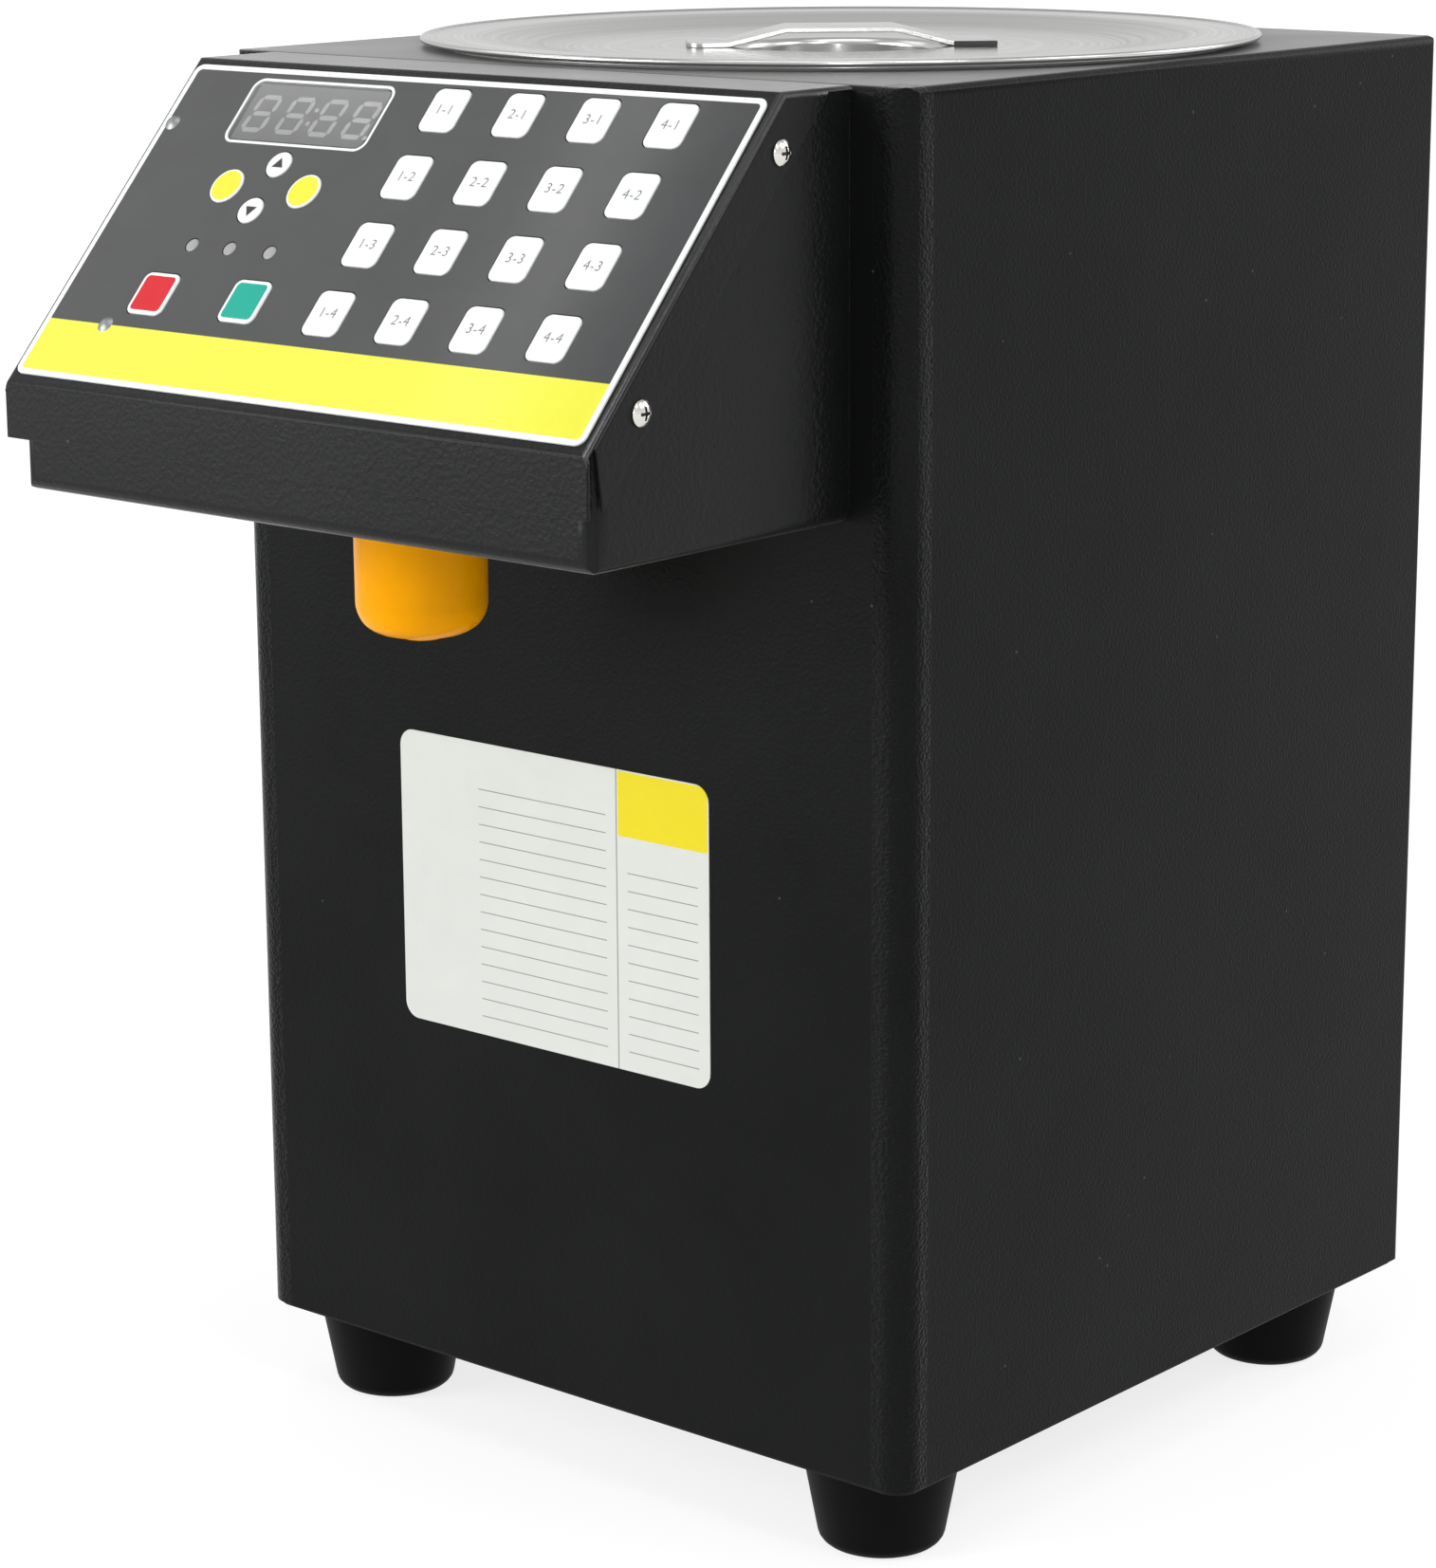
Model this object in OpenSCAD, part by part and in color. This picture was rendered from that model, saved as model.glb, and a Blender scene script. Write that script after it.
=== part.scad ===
/* [Casing] */
// Width of the casing
body_w = 250; // [244:1:280]
// Depth of the casing, front face to rear face
body_d = 254; // [246:1:290]
// Height of the casing without its feet
body_h = 382; // [370:1:430]
// Radius of the two upright front corners
corner_r = 8; // [4:0.5:12]
// Bend radius of the rear corners and the top edges
edge_r = 3; // [2:0.5:4]
// Thickness of the painted sheet steel
sheet_t = 1.2; // [0.8:0.1:1.5]
// Step of the base pan in from the casing
base_inset = 1.5; // [1:0.5:4]
// Height of the base pan's turned-up edge
base_rim = 12; // [8:1:20]
// Width of the flanges that carry the rear cover
rear_flange = 16; // [12:1:20]
// Border of casing left bare round the rear cover
rear_margin = 5; // [4:1:8]

/* [Feet] */
// Height of a rubber foot below the casing
foot_h = 28; // [20:1:40]
// Diameter of a foot at its top
foot_top_d = 45; // [36:1:50]
// Diameter of a foot at the floor
foot_low_d = 35; // [28:1:40]
// Rounding of a foot's lower edge
foot_round = 3.6; // [1:0.2:5]
// Foot centre in from each side
foot_side = 28.5; // [26:0.5:40]
// Foot centre in from the front
foot_front = 27; // [26:0.5:40]
// Foot centre in from the rear
foot_rear = 32; // [28:0.5:45]

/* [Console] */
// Reach of the console in front of the casing
console_out = 103.3; // [98:0.5:120]
// Width of the console cover
console_w = 215.2; // [210:0.5:224]
// Height of the console from its underside to the casing's top
console_h = 113.7; // [108:0.5:130]
// Depth of the sloping panel, measured level
slope_run = 75.5; // [72:0.5:80]
// Height of the sloping panel, measured upright
slope_drop = 83; // [80:0.5:86]
// Height of the cover's front lip
lip_h = 16; // [10:0.5:20]
// Width of the cover's side flanges
flange_w = 14; // [12:0.5:20]
// Inside radius of the cover's bends
bend_r = 1; // [0.6:0.1:2]
// Step of the tray front behind the lip
tray_step = 3.7; // [2:0.1:6]
// Radius of the tray's upright front corners
tray_corner_r = 5.5; // [3:0.5:8]
// Radius of the tray's lower edges
tray_low_r = 4; // [2:0.5:6]
// Width of the window between console and casing
hatch_w = 150; // [80:5:180]
// Height of the window between console and casing
hatch_h = 78; // [60:1:84]

/* [Keypad] */
// Border of cover left bare at each side of the panel overlay
overlay_margin = 2.75; // [2.6:0.05:4]
// Start of the overlay above the lip bend
overlay_v0 = 2.5; // [1.5:0.5:4]
// Thickness of the panel overlay
overlay_t = 0.5; // [0.3:0.1:0.8]
// Width of a number key
key_w = 12.8; // [10:0.2:14]
// Height of a number key
key_h = 14.3; // [10:0.1:15]
// Corner radius of the square keys
key_r = 2.5; // [1:0.1:4]
// Distance between key columns
key_pitch_u = 26.6; // [20:0.1:26.8]
// Distance between key rows
key_pitch_v = 22.35; // [18:0.05:22.5]
// Middle of the last key column in from the console's side
key_side = 30; // [28:0.1:32]
// Top key row along the slope
key_v0 = 99.2; // [97:0.1:99.6]
// Diameter of the arrow keys
arrow_key_d = 8.5; // [7:0.1:9]
// Diameter of the two round function keys
round_key_d = 11; // [9:0.1:12]
// Width of the two coloured square keys
wide_key_w = 13.8; // [12:0.1:15]
// Travel of a key
key_travel = 0.4; // [0.2:0.1:0.4]
// Clearance round a key
key_gap = 0.3; // [0.2:0.05:0.4]

/* [Display] */
// Width of the display window
window_w = 53; // [50.5:0.5:55]
// Height of the display window
window_h = 20.2; // [20:0.1:21]
// Middle of the display window across the panel
window_u = -51; // [-53:0.5:-49]
// Middle of the display window up the slope
window_v = 94.9; // [94:0.1:95.5]
// Length of the four-digit display module
module_w = 50.3; // [48:0.1:50.3]
// Height of the display module
module_h = 19; // [18:0.1:19]
// Diameter of an indicator lamp
lamp_d = 4; // [3:0.5:5]

/* [Tank and lid] */
// Outside radius of the syrup tank
tank_r = 108; // [104:0.5:110]
// Depth of the syrup tank
tank_h = 230; // [200:1:240]
// Thickness of the stainless sheet
steel_t = 0.8; // [0.6:0.1:1.2]
// Width of the tank's flange
tank_flange = 9; // [6:0.5:9]
// Thickness of the tank gasket
gasket_t = 0.8; // [0.5:0.1:1.5]
// Outside radius of the lid
lid_r = 122.6; // [120:0.2:123]
// Inner radius of the lid's flat rim
lid_flat_r = 106; // [104:0.5:107]
// Radius of the lid's floor
lid_floor_r = 80; // [70:0.5:90]
// Depth of the lid's floor below its rim
lid_dish = 3.4; // [2:0.1:6]
// Radius of the finger well
well_r = 30; // [26:0.5:32]
// Depth of the finger well below the lid's floor
well_depth = 9; // [6:0.5:14]
// Width of the strap handle
strap_w = 24; // [16:0.5:28]
// Rise of the strap handle above the lid's floor
strap_rise = 5.6; // [5:0.1:9]
// Thickness of the strap handle
strap_t = 1.5; // [1:0.1:2]
// Half length of the strap handle with its feet
strap_reach = 45; // [42:0.5:56]
// Turn of the strap handle about the upright axis
strap_turn = 42; // [0:1:90]

/* [Nozzle] */
// Outside radius of the nozzle cap
nozzle_r = 18.1; // [17.4:0.1:20]
// Reach of the nozzle cap below the console
nozzle_drop = 35.6; // [32:0.1:40]
// Nozzle axis in front of the casing
nozzle_out = 52; // [46:0.5:56]
// Radius of the threaded neck
neck_r = 14.9; // [14:0.1:15.4]
// Radius of the outlet hole
outlet_r = 4; // [3:0.1:5]
// Edge radius of the nozzle cap
nozzle_round = 4; // [2:0.2:5]
// Travel of the valve plunger
valve_travel = 3; // [2:0.5:3]

/* [Pump] */
// Teeth on each pump gear
gear_teeth = 12; // [12:1:16]
// Module of the pump gears
gear_module = 1.6; // [1.4:0.1:1.6]
// Width of the pump gears
gear_w = 10; // [8:0.5:12]
// Radius of the gear shafts
shaft_r = 3; // [2.5:0.1:3.5]
// Radius of the pump motor
motor_r = 27; // [24:0.5:30]
// Length of the pump motor
motor_l = 74; // [50:1:90]
// Outside radius of the syrup hoses
hose_r = 5; // [4.5:0.1:5.5]
// Wall of the syrup hoses
hose_wall = 1.5; // [1:0.1:1.8]

/* [Rear] */
// Length of a louvre
louvre_l = 62; // [50:1:70]
// Distance a louvre stands out of the rear cover
louvre_out = 5; // [4:0.5:7]
// Louvres in each column
louvre_rows = 8; // [4:1:9]
// Distance between louvres
louvre_pitch = 20; // [16:1:22]
// Centre of the power inlet in from the casing's right side
inlet_side = 49; // [42:1:64]
// Centre of the power inlet above the casing's bottom edge
inlet_up = 44; // [40:1:56]

/* [Hidden] */
$fn = 48;

eps = 0.01;
rest_gap = 0.3;
bond_gap = 0.05;
rear_proud = sheet_t + louvre_out;
front_y = console_out - (console_out + body_d + rear_proud) / 2;
rear_y = front_y + body_d;
half_w = body_w / 2;
clear_low = 20;
base_z = foot_h;
foot_bore_r = 6.5;
foot_bore_h = 10;
top_z = foot_h + body_h;
tank_y = front_y + body_d / 2;

console_low = top_z - console_h;
slope_z = top_z - slope_drop;
slope_angle = atan2(slope_drop, slope_run);
slope_l = norm([slope_run, slope_drop]);
cover_half = console_w / 2;
tray_gap = 0.1;
tray_half = cover_half - sheet_t - tray_gap;
tray_out = console_out - tray_step;
console_screw_l = 8;
hatch_top = top_z - 14;

overlay_u = -0.15;
overlay_w = console_w - 2 * overlay_margin;
overlay_h = slope_l - overlay_v0 - 2.7;
board_depth = 8;
board_t = 1.6;
board_margin = 6;
board_half = tray_half - sheet_t - board_margin;
board_h = overlay_h - 14;
board_v0 = overlay_v0 + 11;
post_x = board_half - 6.1;
post_r = 3;
key_u0 = cover_half - key_side - 3 * key_pitch_u;
stud_sides = [6.2, 26.6];
stud_vs = [88.9, 21];
stud_spots = [for (i = [0, 1]) [stud_sides[i] - cover_half, stud_vs[i]]];
post_spots = [for (x = [-post_x, post_x]) for (v = [board_v0 + 8.5, board_v0 + board_h - 9.5]) [x, v]];
arrow_up = [-51.1, 77.6];
arrow_down = [-51.8, 62];
left_round = [-66, 69.3];
right_round = [-36.3, 69.6];
red_key = [-69.6, 32.3];
green_key = [-34.4, 33];
lamp_spots = [[-66.1, 49.2], [-51.4, 49.2], [-35.9, 49.2]];
key_t = 2.4;
key_proud = 0.3;
key_skirt = 1;

gasket_in = tank_r + 2;
flange_r = tank_r + tank_flange;
mouth_r = tank_r + 1.5;
lid_z = top_z + gasket_t + steel_t + rest_gap;
lid_floor_z = lid_z - lid_dish;
strap_foot = strap_reach - 12;
strap_ramp = 17;

nozzle_y = front_y - nozzle_out;
nozzle_low = console_low - nozzle_drop;
neck_low = console_low - 13;
cavity_r = 10.6;
ring_r = 12.4;
ring_section = 1.2;
spring_seat = nozzle_low + 6.4;
plunger_top = neck_low - rest_gap;
plunger_head = 4;
spring_wire = 0.6;
spring_r = 6.4;
spring_turns = 5;
plunger_r = 8.6;
plunger_stem_r = 4.6;
plunger_stem = plunger_top - plunger_head - spring_seat - valve_travel - 5.4;
barb_r = hose_r - hose_wall;
seat_barb_top = console_low + 30;

pitch_r = gear_module * gear_teeth / 2;
gear_tip = pitch_r + 0.75 * gear_module;
gear_root = pitch_r - 1.1 * gear_module;
pump_t = gear_w + 10;
pump_x = 18;
pump_y = front_y + sheet_t + 1 + pump_t / 2;
drive_z = base_z + motor_r + 8;
driven_z = drive_z + 2 * pitch_r;
pump_low = drive_z - gear_tip - 6;
pump_top = driven_z + gear_tip + 6;
pump_half = gear_tip + 14;
port_x = 18;
bracket_t = 2.5;
bracket_half = 34;
bracket_foot = 34;
bracket_y = pump_y + pump_t / 2;
hose_x = pump_x - port_x;
spout_x = pump_x + port_x;
spout_y = tank_y - 60;
tank_low = top_z + gasket_t + steel_t - tank_h;
elbow_r = 16;
hose_end = 12;
heater_up = 18;
heater_h = 60;
heater_t = 2.2;
heater_split = 32;
probe_up = 100;
probe_l = 32;
probe_r = 3;
port_top = pump_top + 12;

cover_y = rear_y + sheet_t;
cover_w = body_w - 2 * rear_margin;
cover_low = base_z + rear_margin;
cover_high = top_z - rear_margin;
louvre_x = cover_w / 2 - 62;
louvre_up = 150;
louvre_low = base_z + louvre_up;
inlet_x = half_w - inlet_side;
inlet_z = base_z + inlet_up;
inlet_w = 31;
inlet_h = 60;
inlet_body_w = 27.4;
inlet_body_h = 48;
inlet_flange = 2.6;
inlet_depth = 26;
rocker_up = 13.5;
rocker_depth = 1.5;
rocker_tilt = 8;
supply_w = 84;
supply_d = 94;
supply_h = 38;
supply_x = -half_w + 21;
supply_y = tank_y - 30;
rocker_w = 13;
rocker_h = 19;

// Point where two inset sides of a bend at b meet, t inside
function inset_corner(a, b, c, t) =
    let (u = (a - b) / norm(a - b), w = (c - b) / norm(c - b), half = acos(u * w) / 2)
    b + (u + w) / norm(u + w) * t / sin(half);

// Points of a rounded bend of radius r at b, between a and c
function bend(a, b, c, r, n = 5) =
    let (u = (a - b) / norm(a - b), w = (c - b) / norm(c - b), half = acos(u * w) / 2,
         centre = b + (u + w) / norm(u + w) * r / sin(half),
         p = b + u * r / tan(half) - centre, q = b + w * r / tan(half) - centre,
         a0 = atan2(p[1], p[0]), turn = atan2(q[1], q[0]) - a0,
         sweep = turn > 180 ? turn - 360 : turn < -180 ? turn + 360 : turn)
    [for (i = [0:n]) centre + r * [cos(a0 + sweep * i / n), sin(a0 + sweep * i / n)]];

// Flat outline with one radius at its low-y corners and one at its high-y corners
module plan(x0, x1, y0, y1, r_low, r_high) {
    polygon([[x0 + r_low, y0], [x1 - r_low, y0], [x1, y0 + r_low], [x1, y1 - r_high],
             [x1 - r_high, y1], [x0 + r_high, y1], [x0, y1 - r_high], [x0, y0 + r_low]]);
    for (x = [x0 + r_low, x1 - r_low]) translate([x, y0 + r_low]) circle(r_low);
    for (x = [x0 + r_high, x1 - r_high]) translate([x, y1 - r_high]) circle(r_high);
}

// Centred rounded rectangle
module pad(w, h, r) {
    plan(-w / 2, w / 2, -h / 2, h / 2, r, r);
}

// Children drawn in the y-z plane, spread from x0 to x1
module across(x0, x1) {
    translate([x0, 0, 0]) rotate([90, 0, 90]) linear_extrude(x1 - x0) children();
}

// Children drawn in the x-z plane, spread from y0 to y1
module along(y0, y1) {
    translate([0, y1, 0]) rotate([90, 0, 0]) linear_extrude(y1 - y0) children();
}

// Children placed on the sloping panel: x across, y up the slope, z out of it
module on_slope() {
    translate([0, front_y - console_out, slope_z]) rotate([slope_angle, 0, 0]) children();
}

// Cylinder along +Y from y0 to y1
module rod_y(x, z, r, y0, y1) {
    translate([x, y0, z]) rotate([-90, 0, 0]) cylinder(h = y1 - y0, r = r);
}

// Pan-head screw: head on z = 0, shank below it, cross recess on top
module pan_screw(head_r, shank_r, shank_l) {
    head_t = head_r * 0.62;
    difference() {
        union() {
            rotate_extrude() intersection() {
                polygon([[0, 0], [head_r, 0], [head_r, head_t], [0, head_t]]);
                translate([0, head_t - head_r * 1.4]) circle(head_r * 1.4);
            }
            translate([0, 0, -shank_l]) cylinder(h = shank_l + eps, r = shank_r);
        }
        for (a = [0, 90]) rotate(a) translate([-head_r * 0.5, -head_r * 0.11, head_t * 0.5])
            cube([head_r, head_r * 0.22, head_t]);
    }
}

// --- Casing ---

// Casing block with its bends, drawn in by t on every face and low mm longer at the bottom
module casing_block(t, low) {
    intersection() {
        translate([0, 0, base_z - low]) linear_extrude(body_h + low)
            plan(-half_w + t, half_w - t, front_y + t, rear_y - t, corner_r - t, edge_r - t);
        along(front_y - 1, rear_y + 1)
            plan(-half_w + t, half_w - t, base_z - clear_low, top_z - t, edge_r, edge_r - t);
        across(-half_w - 1, half_w + 1)
            plan(front_y + t, rear_y - t, base_z - clear_low, top_z - t, edge_r, edge_r - t);
    }
}

module body_shell() {
    color("#262727") difference() {
        casing_block(0, 0);
        casing_block(sheet_t, 1);
        translate([0, tank_y, top_z - 5]) cylinder(h = 10, r = mouth_r, $fn = 96);
        // window into the console
        translate([-hatch_w / 2, front_y - 1, hatch_top - hatch_h]) cube([hatch_w, sheet_t + 2, hatch_h]);
        // rear opening inside the flanges
        translate([-half_w + rear_flange, rear_y - sheet_t - 1, base_z - 1])
            cube([body_w - 2 * rear_flange, sheet_t + 2, body_h + 1 - rear_flange]);
        rear_screw_holes(1.8);
    }
}

module base_pan() {
    low = base_z - sheet_t;
    color("#1b1c1c") difference() {
        union() {
            translate([0, 0, low]) linear_extrude(sheet_t)
                plan(-half_w + base_inset, half_w - base_inset, front_y + base_inset, rear_y - base_inset,
                     corner_r - base_inset, edge_r);
            translate([0, 0, base_z - eps]) linear_extrude(base_rim) difference() {
                pan_rim(sheet_t + tray_gap);
                pan_rim(2 * sheet_t + tray_gap);
            }
        }
        for (p = foot_spots()) translate([p[0], p[1], low - 1]) cylinder(h = sheet_t + 2, r = 2.7);
        // air slots under the power supply
        for (i = [0:5]) translate([supply_x + supply_w / 2 - 32 + 12 * i, supply_y + 22, low - 1])
            cube([4, 50, sheet_t + 2]);
    }
}

module pan_rim(t) {
    plan(-half_w + t, half_w - t, front_y + t, rear_y - t, corner_r - sheet_t, edge_r);
}

function foot_spots() =
    [for (x = [-half_w + foot_side, half_w - foot_side])
        for (y = [front_y + foot_front, rear_y - foot_rear]) [x, y]];

module feet() {
    top = base_z - sheet_t;
    color("#101010") for (p = foot_spots()) translate([p[0], p[1], 0]) rotate_extrude() {
        polygon(concat([[2.7, foot_bore_h], [2.7, top], [foot_top_d / 2, top]],
            bend([foot_top_d / 2, top], [foot_low_d / 2, 0], [foot_bore_r, 0], foot_round),
            [[foot_bore_r, 0], [foot_bore_r, foot_bore_h]]));
    }
}

module foot_screws() {
    color("#b9bbbb") for (p = foot_spots()) translate([p[0], p[1], 0]) {
        translate([0, 0, foot_bore_h]) rotate([180, 0, 0]) pan_screw(5, 2.5, base_z - foot_bore_h + 6);
        translate([0, 0, base_z]) cylinder(h = 4, r = 4.6, $fn = 6);
    }
}

// --- Rear cover ---

function rear_screw_spots() =
    let (low = base_z + base_rim + 4, high = cover_high - 6)
    [for (x = [6 - cover_w / 2, cover_w / 2 - 6]) for (z = [low, (low + high) / 2, high]) [x, z]];

module rear_screw_holes(r) {
    for (p = rear_screw_spots()) rod_y(p[0], p[1], r, rear_y - 5, rear_y + 5);
}

function louvre_spots() =
    [for (x = [-louvre_x, louvre_x]) for (i = [0:louvre_rows - 1]) [x, louvre_low + i * louvre_pitch]];

// Pressed hood over a slot, open below
module louvre_hood(wall) {
    r = louvre_out + sheet_t - wall;
    intersection() {
        translate([-louvre_l / 2 + wall, 0, 0]) rotate([0, 90, 0]) cylinder(h = louvre_l - 2 * wall, r = r);
        translate([-louvre_l / 2, 0, 0]) cube([louvre_l, r, r]);
    }
}

module rear_cover() {
    color("#262727") difference() {
        union() {
            along(rear_y, cover_y) plan(-cover_w / 2, cover_w / 2, cover_low, cover_high, 3, 3);
            for (p = louvre_spots()) translate([p[0], rear_y, p[1]]) louvre_hood(0);
        }
        for (p = louvre_spots()) translate([p[0], rear_y - eps, p[1] - eps]) louvre_hood(sheet_t);
        along(rear_y - 1, cover_y + 1) translate([inlet_x, inlet_z])
            square([inlet_body_w + 0.4, inlet_body_h + 0.4], center = true);
        rear_screw_holes(2.1);
    }
}

module rear_cover_screws() {
    color("#c9cbcb") for (p = rear_screw_spots()) translate([p[0], cover_y, p[1]]) rotate([-90, 0, 0])
        pan_screw(3.4, 1.75, 8);
}

// --- Console ---

// Side outline of the sheet, t inside the cover's outer faces
slope_foot = [front_y - console_out, slope_z];
slope_head = [front_y - console_out + slope_run, top_z];
lip_end = slope_foot - [0, lip_h];
top_end = [front_y, top_z];

module cover_outline() {
    low_in = inset_corner(lip_end, slope_foot, slope_head, sheet_t);
    high_in = inset_corner(slope_foot, slope_head, top_end, sheet_t);
    polygon(concat([lip_end], bend(lip_end, slope_foot, slope_head, bend_r + sheet_t),
        bend(slope_foot, slope_head, top_end, bend_r + sheet_t), [top_end, top_end - [0, sheet_t]],
        bend(top_end - [0, sheet_t], high_in, low_in, bend_r),
        bend(high_in, low_in, lip_end + [sheet_t, 0], bend_r), [lip_end + [sheet_t, 0]]));
}

module cover_flange() {
    low = slope_foot + 3 * [cos(slope_angle), sin(slope_angle)];
    inward = flange_w * [sin(slope_angle), -cos(slope_angle)];
    polygon([low, slope_head, slope_head + [flange_w / sin(slope_angle), 0], low + inward]);
}

// What the cover's two side bends take off its upper edges
module side_rounding() {
    r = bend_r + sheet_t;
    for (s = [0, 1]) mirror([s, 0, 0]) {
        along(front_y - console_out, front_y + 1) translate([cover_half - r, top_z - r]) outside_round(r);
        on_slope() along(-r, slope_l + 2 * r) translate([cover_half - r, -r]) outside_round(r);
    }
}

// Square of side r + 1 with a quarter circle of radius r taken out of its inner corner
module outside_round(r) {
    difference() {
        square(r + 1);
        circle(r);
    }
}

module console_cover() {
    color("#262727") difference() {
        union() {
            across(-cover_half, cover_half) cover_outline();
            for (s = [-1, 1]) across(s * (cover_half - sheet_t / 2) - sheet_t / 2,
                                     s * (cover_half - sheet_t / 2) + sheet_t / 2) cover_flange();
        }
        side_rounding();
        panel_cutouts(key_gap, sheet_t + 2);
        for (s = [-1, 1]) console_screw_spots(s) translate([0, 0, -sheet_t - 1]) cylinder(h = 10, r = 2.2);
        on_slope() for (p = stud_spots) translate([p[0], p[1], -5]) cylinder(h = 10, r = 1.6);
    }
}

// Children placed at the two side screws, z pointing out of the console's side
module console_screw_spots(side) {
    for (s = [19.5, 100]) let (p = slope_foot + s * [cos(slope_angle), sin(slope_angle)]
                                + 9 * [sin(slope_angle), -cos(slope_angle)])
        translate([side * cover_half, p[0], p[1]]) rotate([0, side * 90, 0]) children();
}

// Holes for keys, lamps and display through the panel, grown by gap
module panel_cutouts(gap, depth) {
    on_slope() translate([0, 0, -depth]) linear_extrude(depth + 2) {
        for (c = [1:4]) for (r = [1:4]) translate(key_spot(c, r))
            pad(key_w + 2 * gap, key_h + 2 * gap, key_r + gap);
        for (p = [red_key, green_key]) translate(p)
            pad(wide_key_w + 2 * gap, wide_key_w + 2 * gap, key_r + gap);
        for (p = [arrow_up, arrow_down]) translate(p) circle(arrow_key_d / 2 + gap);
        for (p = [left_round, right_round]) translate(p) circle(round_key_d / 2 + gap);
        for (p = lamp_spots) translate(p) circle(lamp_d / 2 + gap);
        translate([window_u, window_v]) pad(window_w + gap, window_h + gap, 3);
    }
}

function key_spot(c, r) = [key_u0 + (c - 1) * key_pitch_u, key_v0 - (r - 1) * key_pitch_v];

// Side outline of the tray, t inside its outer faces
module tray_outline(t) {
    inner = sheet_t + tray_gap;
    low_in = inset_corner(lip_end, slope_foot, slope_head, inner);
    high_in = inset_corner(slope_foot, slope_head, top_end, inner);
    front = front_y - tray_out + t;
    front_top = low_in + (front - low_in[0]) * [1, tan(slope_angle)];
    low = console_low + t;
    polygon(concat(bend([front, front_top[1]], [front, low], [front_y, low], tray_low_r - t),
        [[front_y, low], [front_y, high_in[1]], high_in, front_top]));
}

module tray_block(t, rise) {
    intersection() {
        union() {
            across(-cover_half, cover_half) tray_outline(t);
            if (rise > 0) translate([-cover_half, front_y - tray_out + t, console_low + tray_low_r])
                cube([console_w, tray_out, console_h + rise]);
        }
        side = tray_half - t;
        translate([0, 0, console_low]) linear_extrude(console_h + rise)
            plan(-side, side, front_y - tray_out + t, front_y + clear_low, tray_corner_r - t, 1);
        along(front_y - console_out, front_y + rise)
            plan(-side, side, console_low + t, top_z + clear_low, tray_low_r - t, 1);
    }
}

module console_tray() {
    wing = 11;
    color("#2a2b2b") difference() {
        union() {
            difference() {
                tray_block(0, 0);
                tray_block(sheet_t, 5);
            }
            // flanges that bolt to the casing front
            wing_z = console_low + console_h / 2 - 4;
            for (s = [-1, 1]) translate([s * (tray_half - wing / 2), front_y - sheet_t / 2, wing_z])
                cube([wing, sheet_t, console_h - 24], center = true);
        }
        translate([0, nozzle_y, console_low - 1]) cylinder(h = sheet_t + 2, r = neck_r + 0.3);
        for (s = [-1, 1]) console_screw_spots(s) translate([0, 0, -12]) cylinder(h = 20, r = 1.7);
    }
}

module console_screws() {
    color("#d4d6d6") for (s = [-1, 1]) console_screw_spots(s) pan_screw(3.5, 1.6, console_screw_l);
}

// --- Panel ---

module panel_overlay() {
    color("#474849") difference() {
        on_slope() translate([overlay_u, overlay_v0 + overlay_h / 2, 0]) linear_extrude(overlay_t)
            pad(overlay_w, overlay_h, 3);
        panel_cutouts(key_gap, 1);
        on_slope() for (p = stud_spots) translate([p[0], p[1], -1]) cylinder(h = 4, r = 1.6);
    }
}

// Two studs with domed heads on the panel, and four posts that carry the board
module panel_studs() {
    color("#8d8f8f") on_slope() {
        for (p = stud_spots) translate([p[0], p[1], overlay_t]) {
            rotate_extrude() intersection() {
                translate([0, -2.6]) circle(3.6);
                square([2.5, 2]);
            }
            translate([0, 0, -overlay_t - sheet_t - 1]) cylinder(h = overlay_t + sheet_t + 1.1, r = 1.5);
            translate([0, 0, -overlay_t - sheet_t - 1]) cylinder(h = 1, r = 2.6, $fn = 6);
        }
        for (p = post_spots) translate([p[0], p[1], -board_depth])
            cylinder(h = board_depth - sheet_t, r = post_r);
    }
}

module display_window() {
    color("#777a7b") on_slope() translate([window_u, window_v, 0]) linear_extrude(overlay_t)
        pad(window_w, window_h, 2.9);
}

module display_module() {
    color("#303234") on_slope() translate([window_u - module_w / 2, window_v - module_h / 2, -board_depth])
        cube([module_w, module_h, board_depth]);
}

module control_board() {
    color("#1d6b3a") on_slope() difference() {
        translate([-board_half, board_v0, -board_depth - board_t]) cube([2 * board_half, board_h, board_t]);
        for (p = post_spots) translate([p[0], p[1], -board_depth - 5]) cylinder(h = 10, r = post_r / 2);
    }
}

module indicator_lamps() {
    color("#9a9c9c") on_slope() for (p = lamp_spots) translate([p[0], p[1], -board_depth]) {
        cylinder(h = board_depth - lamp_d / 2 + 0.3, r = lamp_d / 2);
        translate([0, 0, board_depth - lamp_d / 2 + 0.3]) rotate_extrude() intersection() {
            circle(lamp_d / 2);
            square(lamp_d);
        }
    }
}

function all_key_spots() = concat([for (c = [1:4]) for (r = [1:4]) key_spot(c, r)],
    [arrow_up, arrow_down, left_round, right_round, red_key, green_key]);

key_low = overlay_t + key_proud - key_t - 1.6;

module tact_switches() {
    plunger_z = key_low - key_travel - 0.15;
    case_z = -board_depth + 2.6;
    color("#3c3c3c") on_slope() for (p = all_key_spots()) translate([p[0], p[1], 0]) {
        translate([-3, -3, -board_depth]) cube([6, 6, case_z + board_depth]);
        translate([0, 0, case_z]) cylinder(h = plunger_z - case_z, r = 1.7);
    }
}

// Key cap: shaped top through the panel, skirt behind it
module key_cap(skirt) {
    top = overlay_t + key_proud;
    skirt_top = -sheet_t - rest_gap;
    on_slope() {
        translate([0, 0, skirt_top - eps]) linear_extrude(top - skirt_top + eps) children(0);
        translate([0, 0, key_low]) linear_extrude(skirt_top - key_low) children(1);
    }
}

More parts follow.
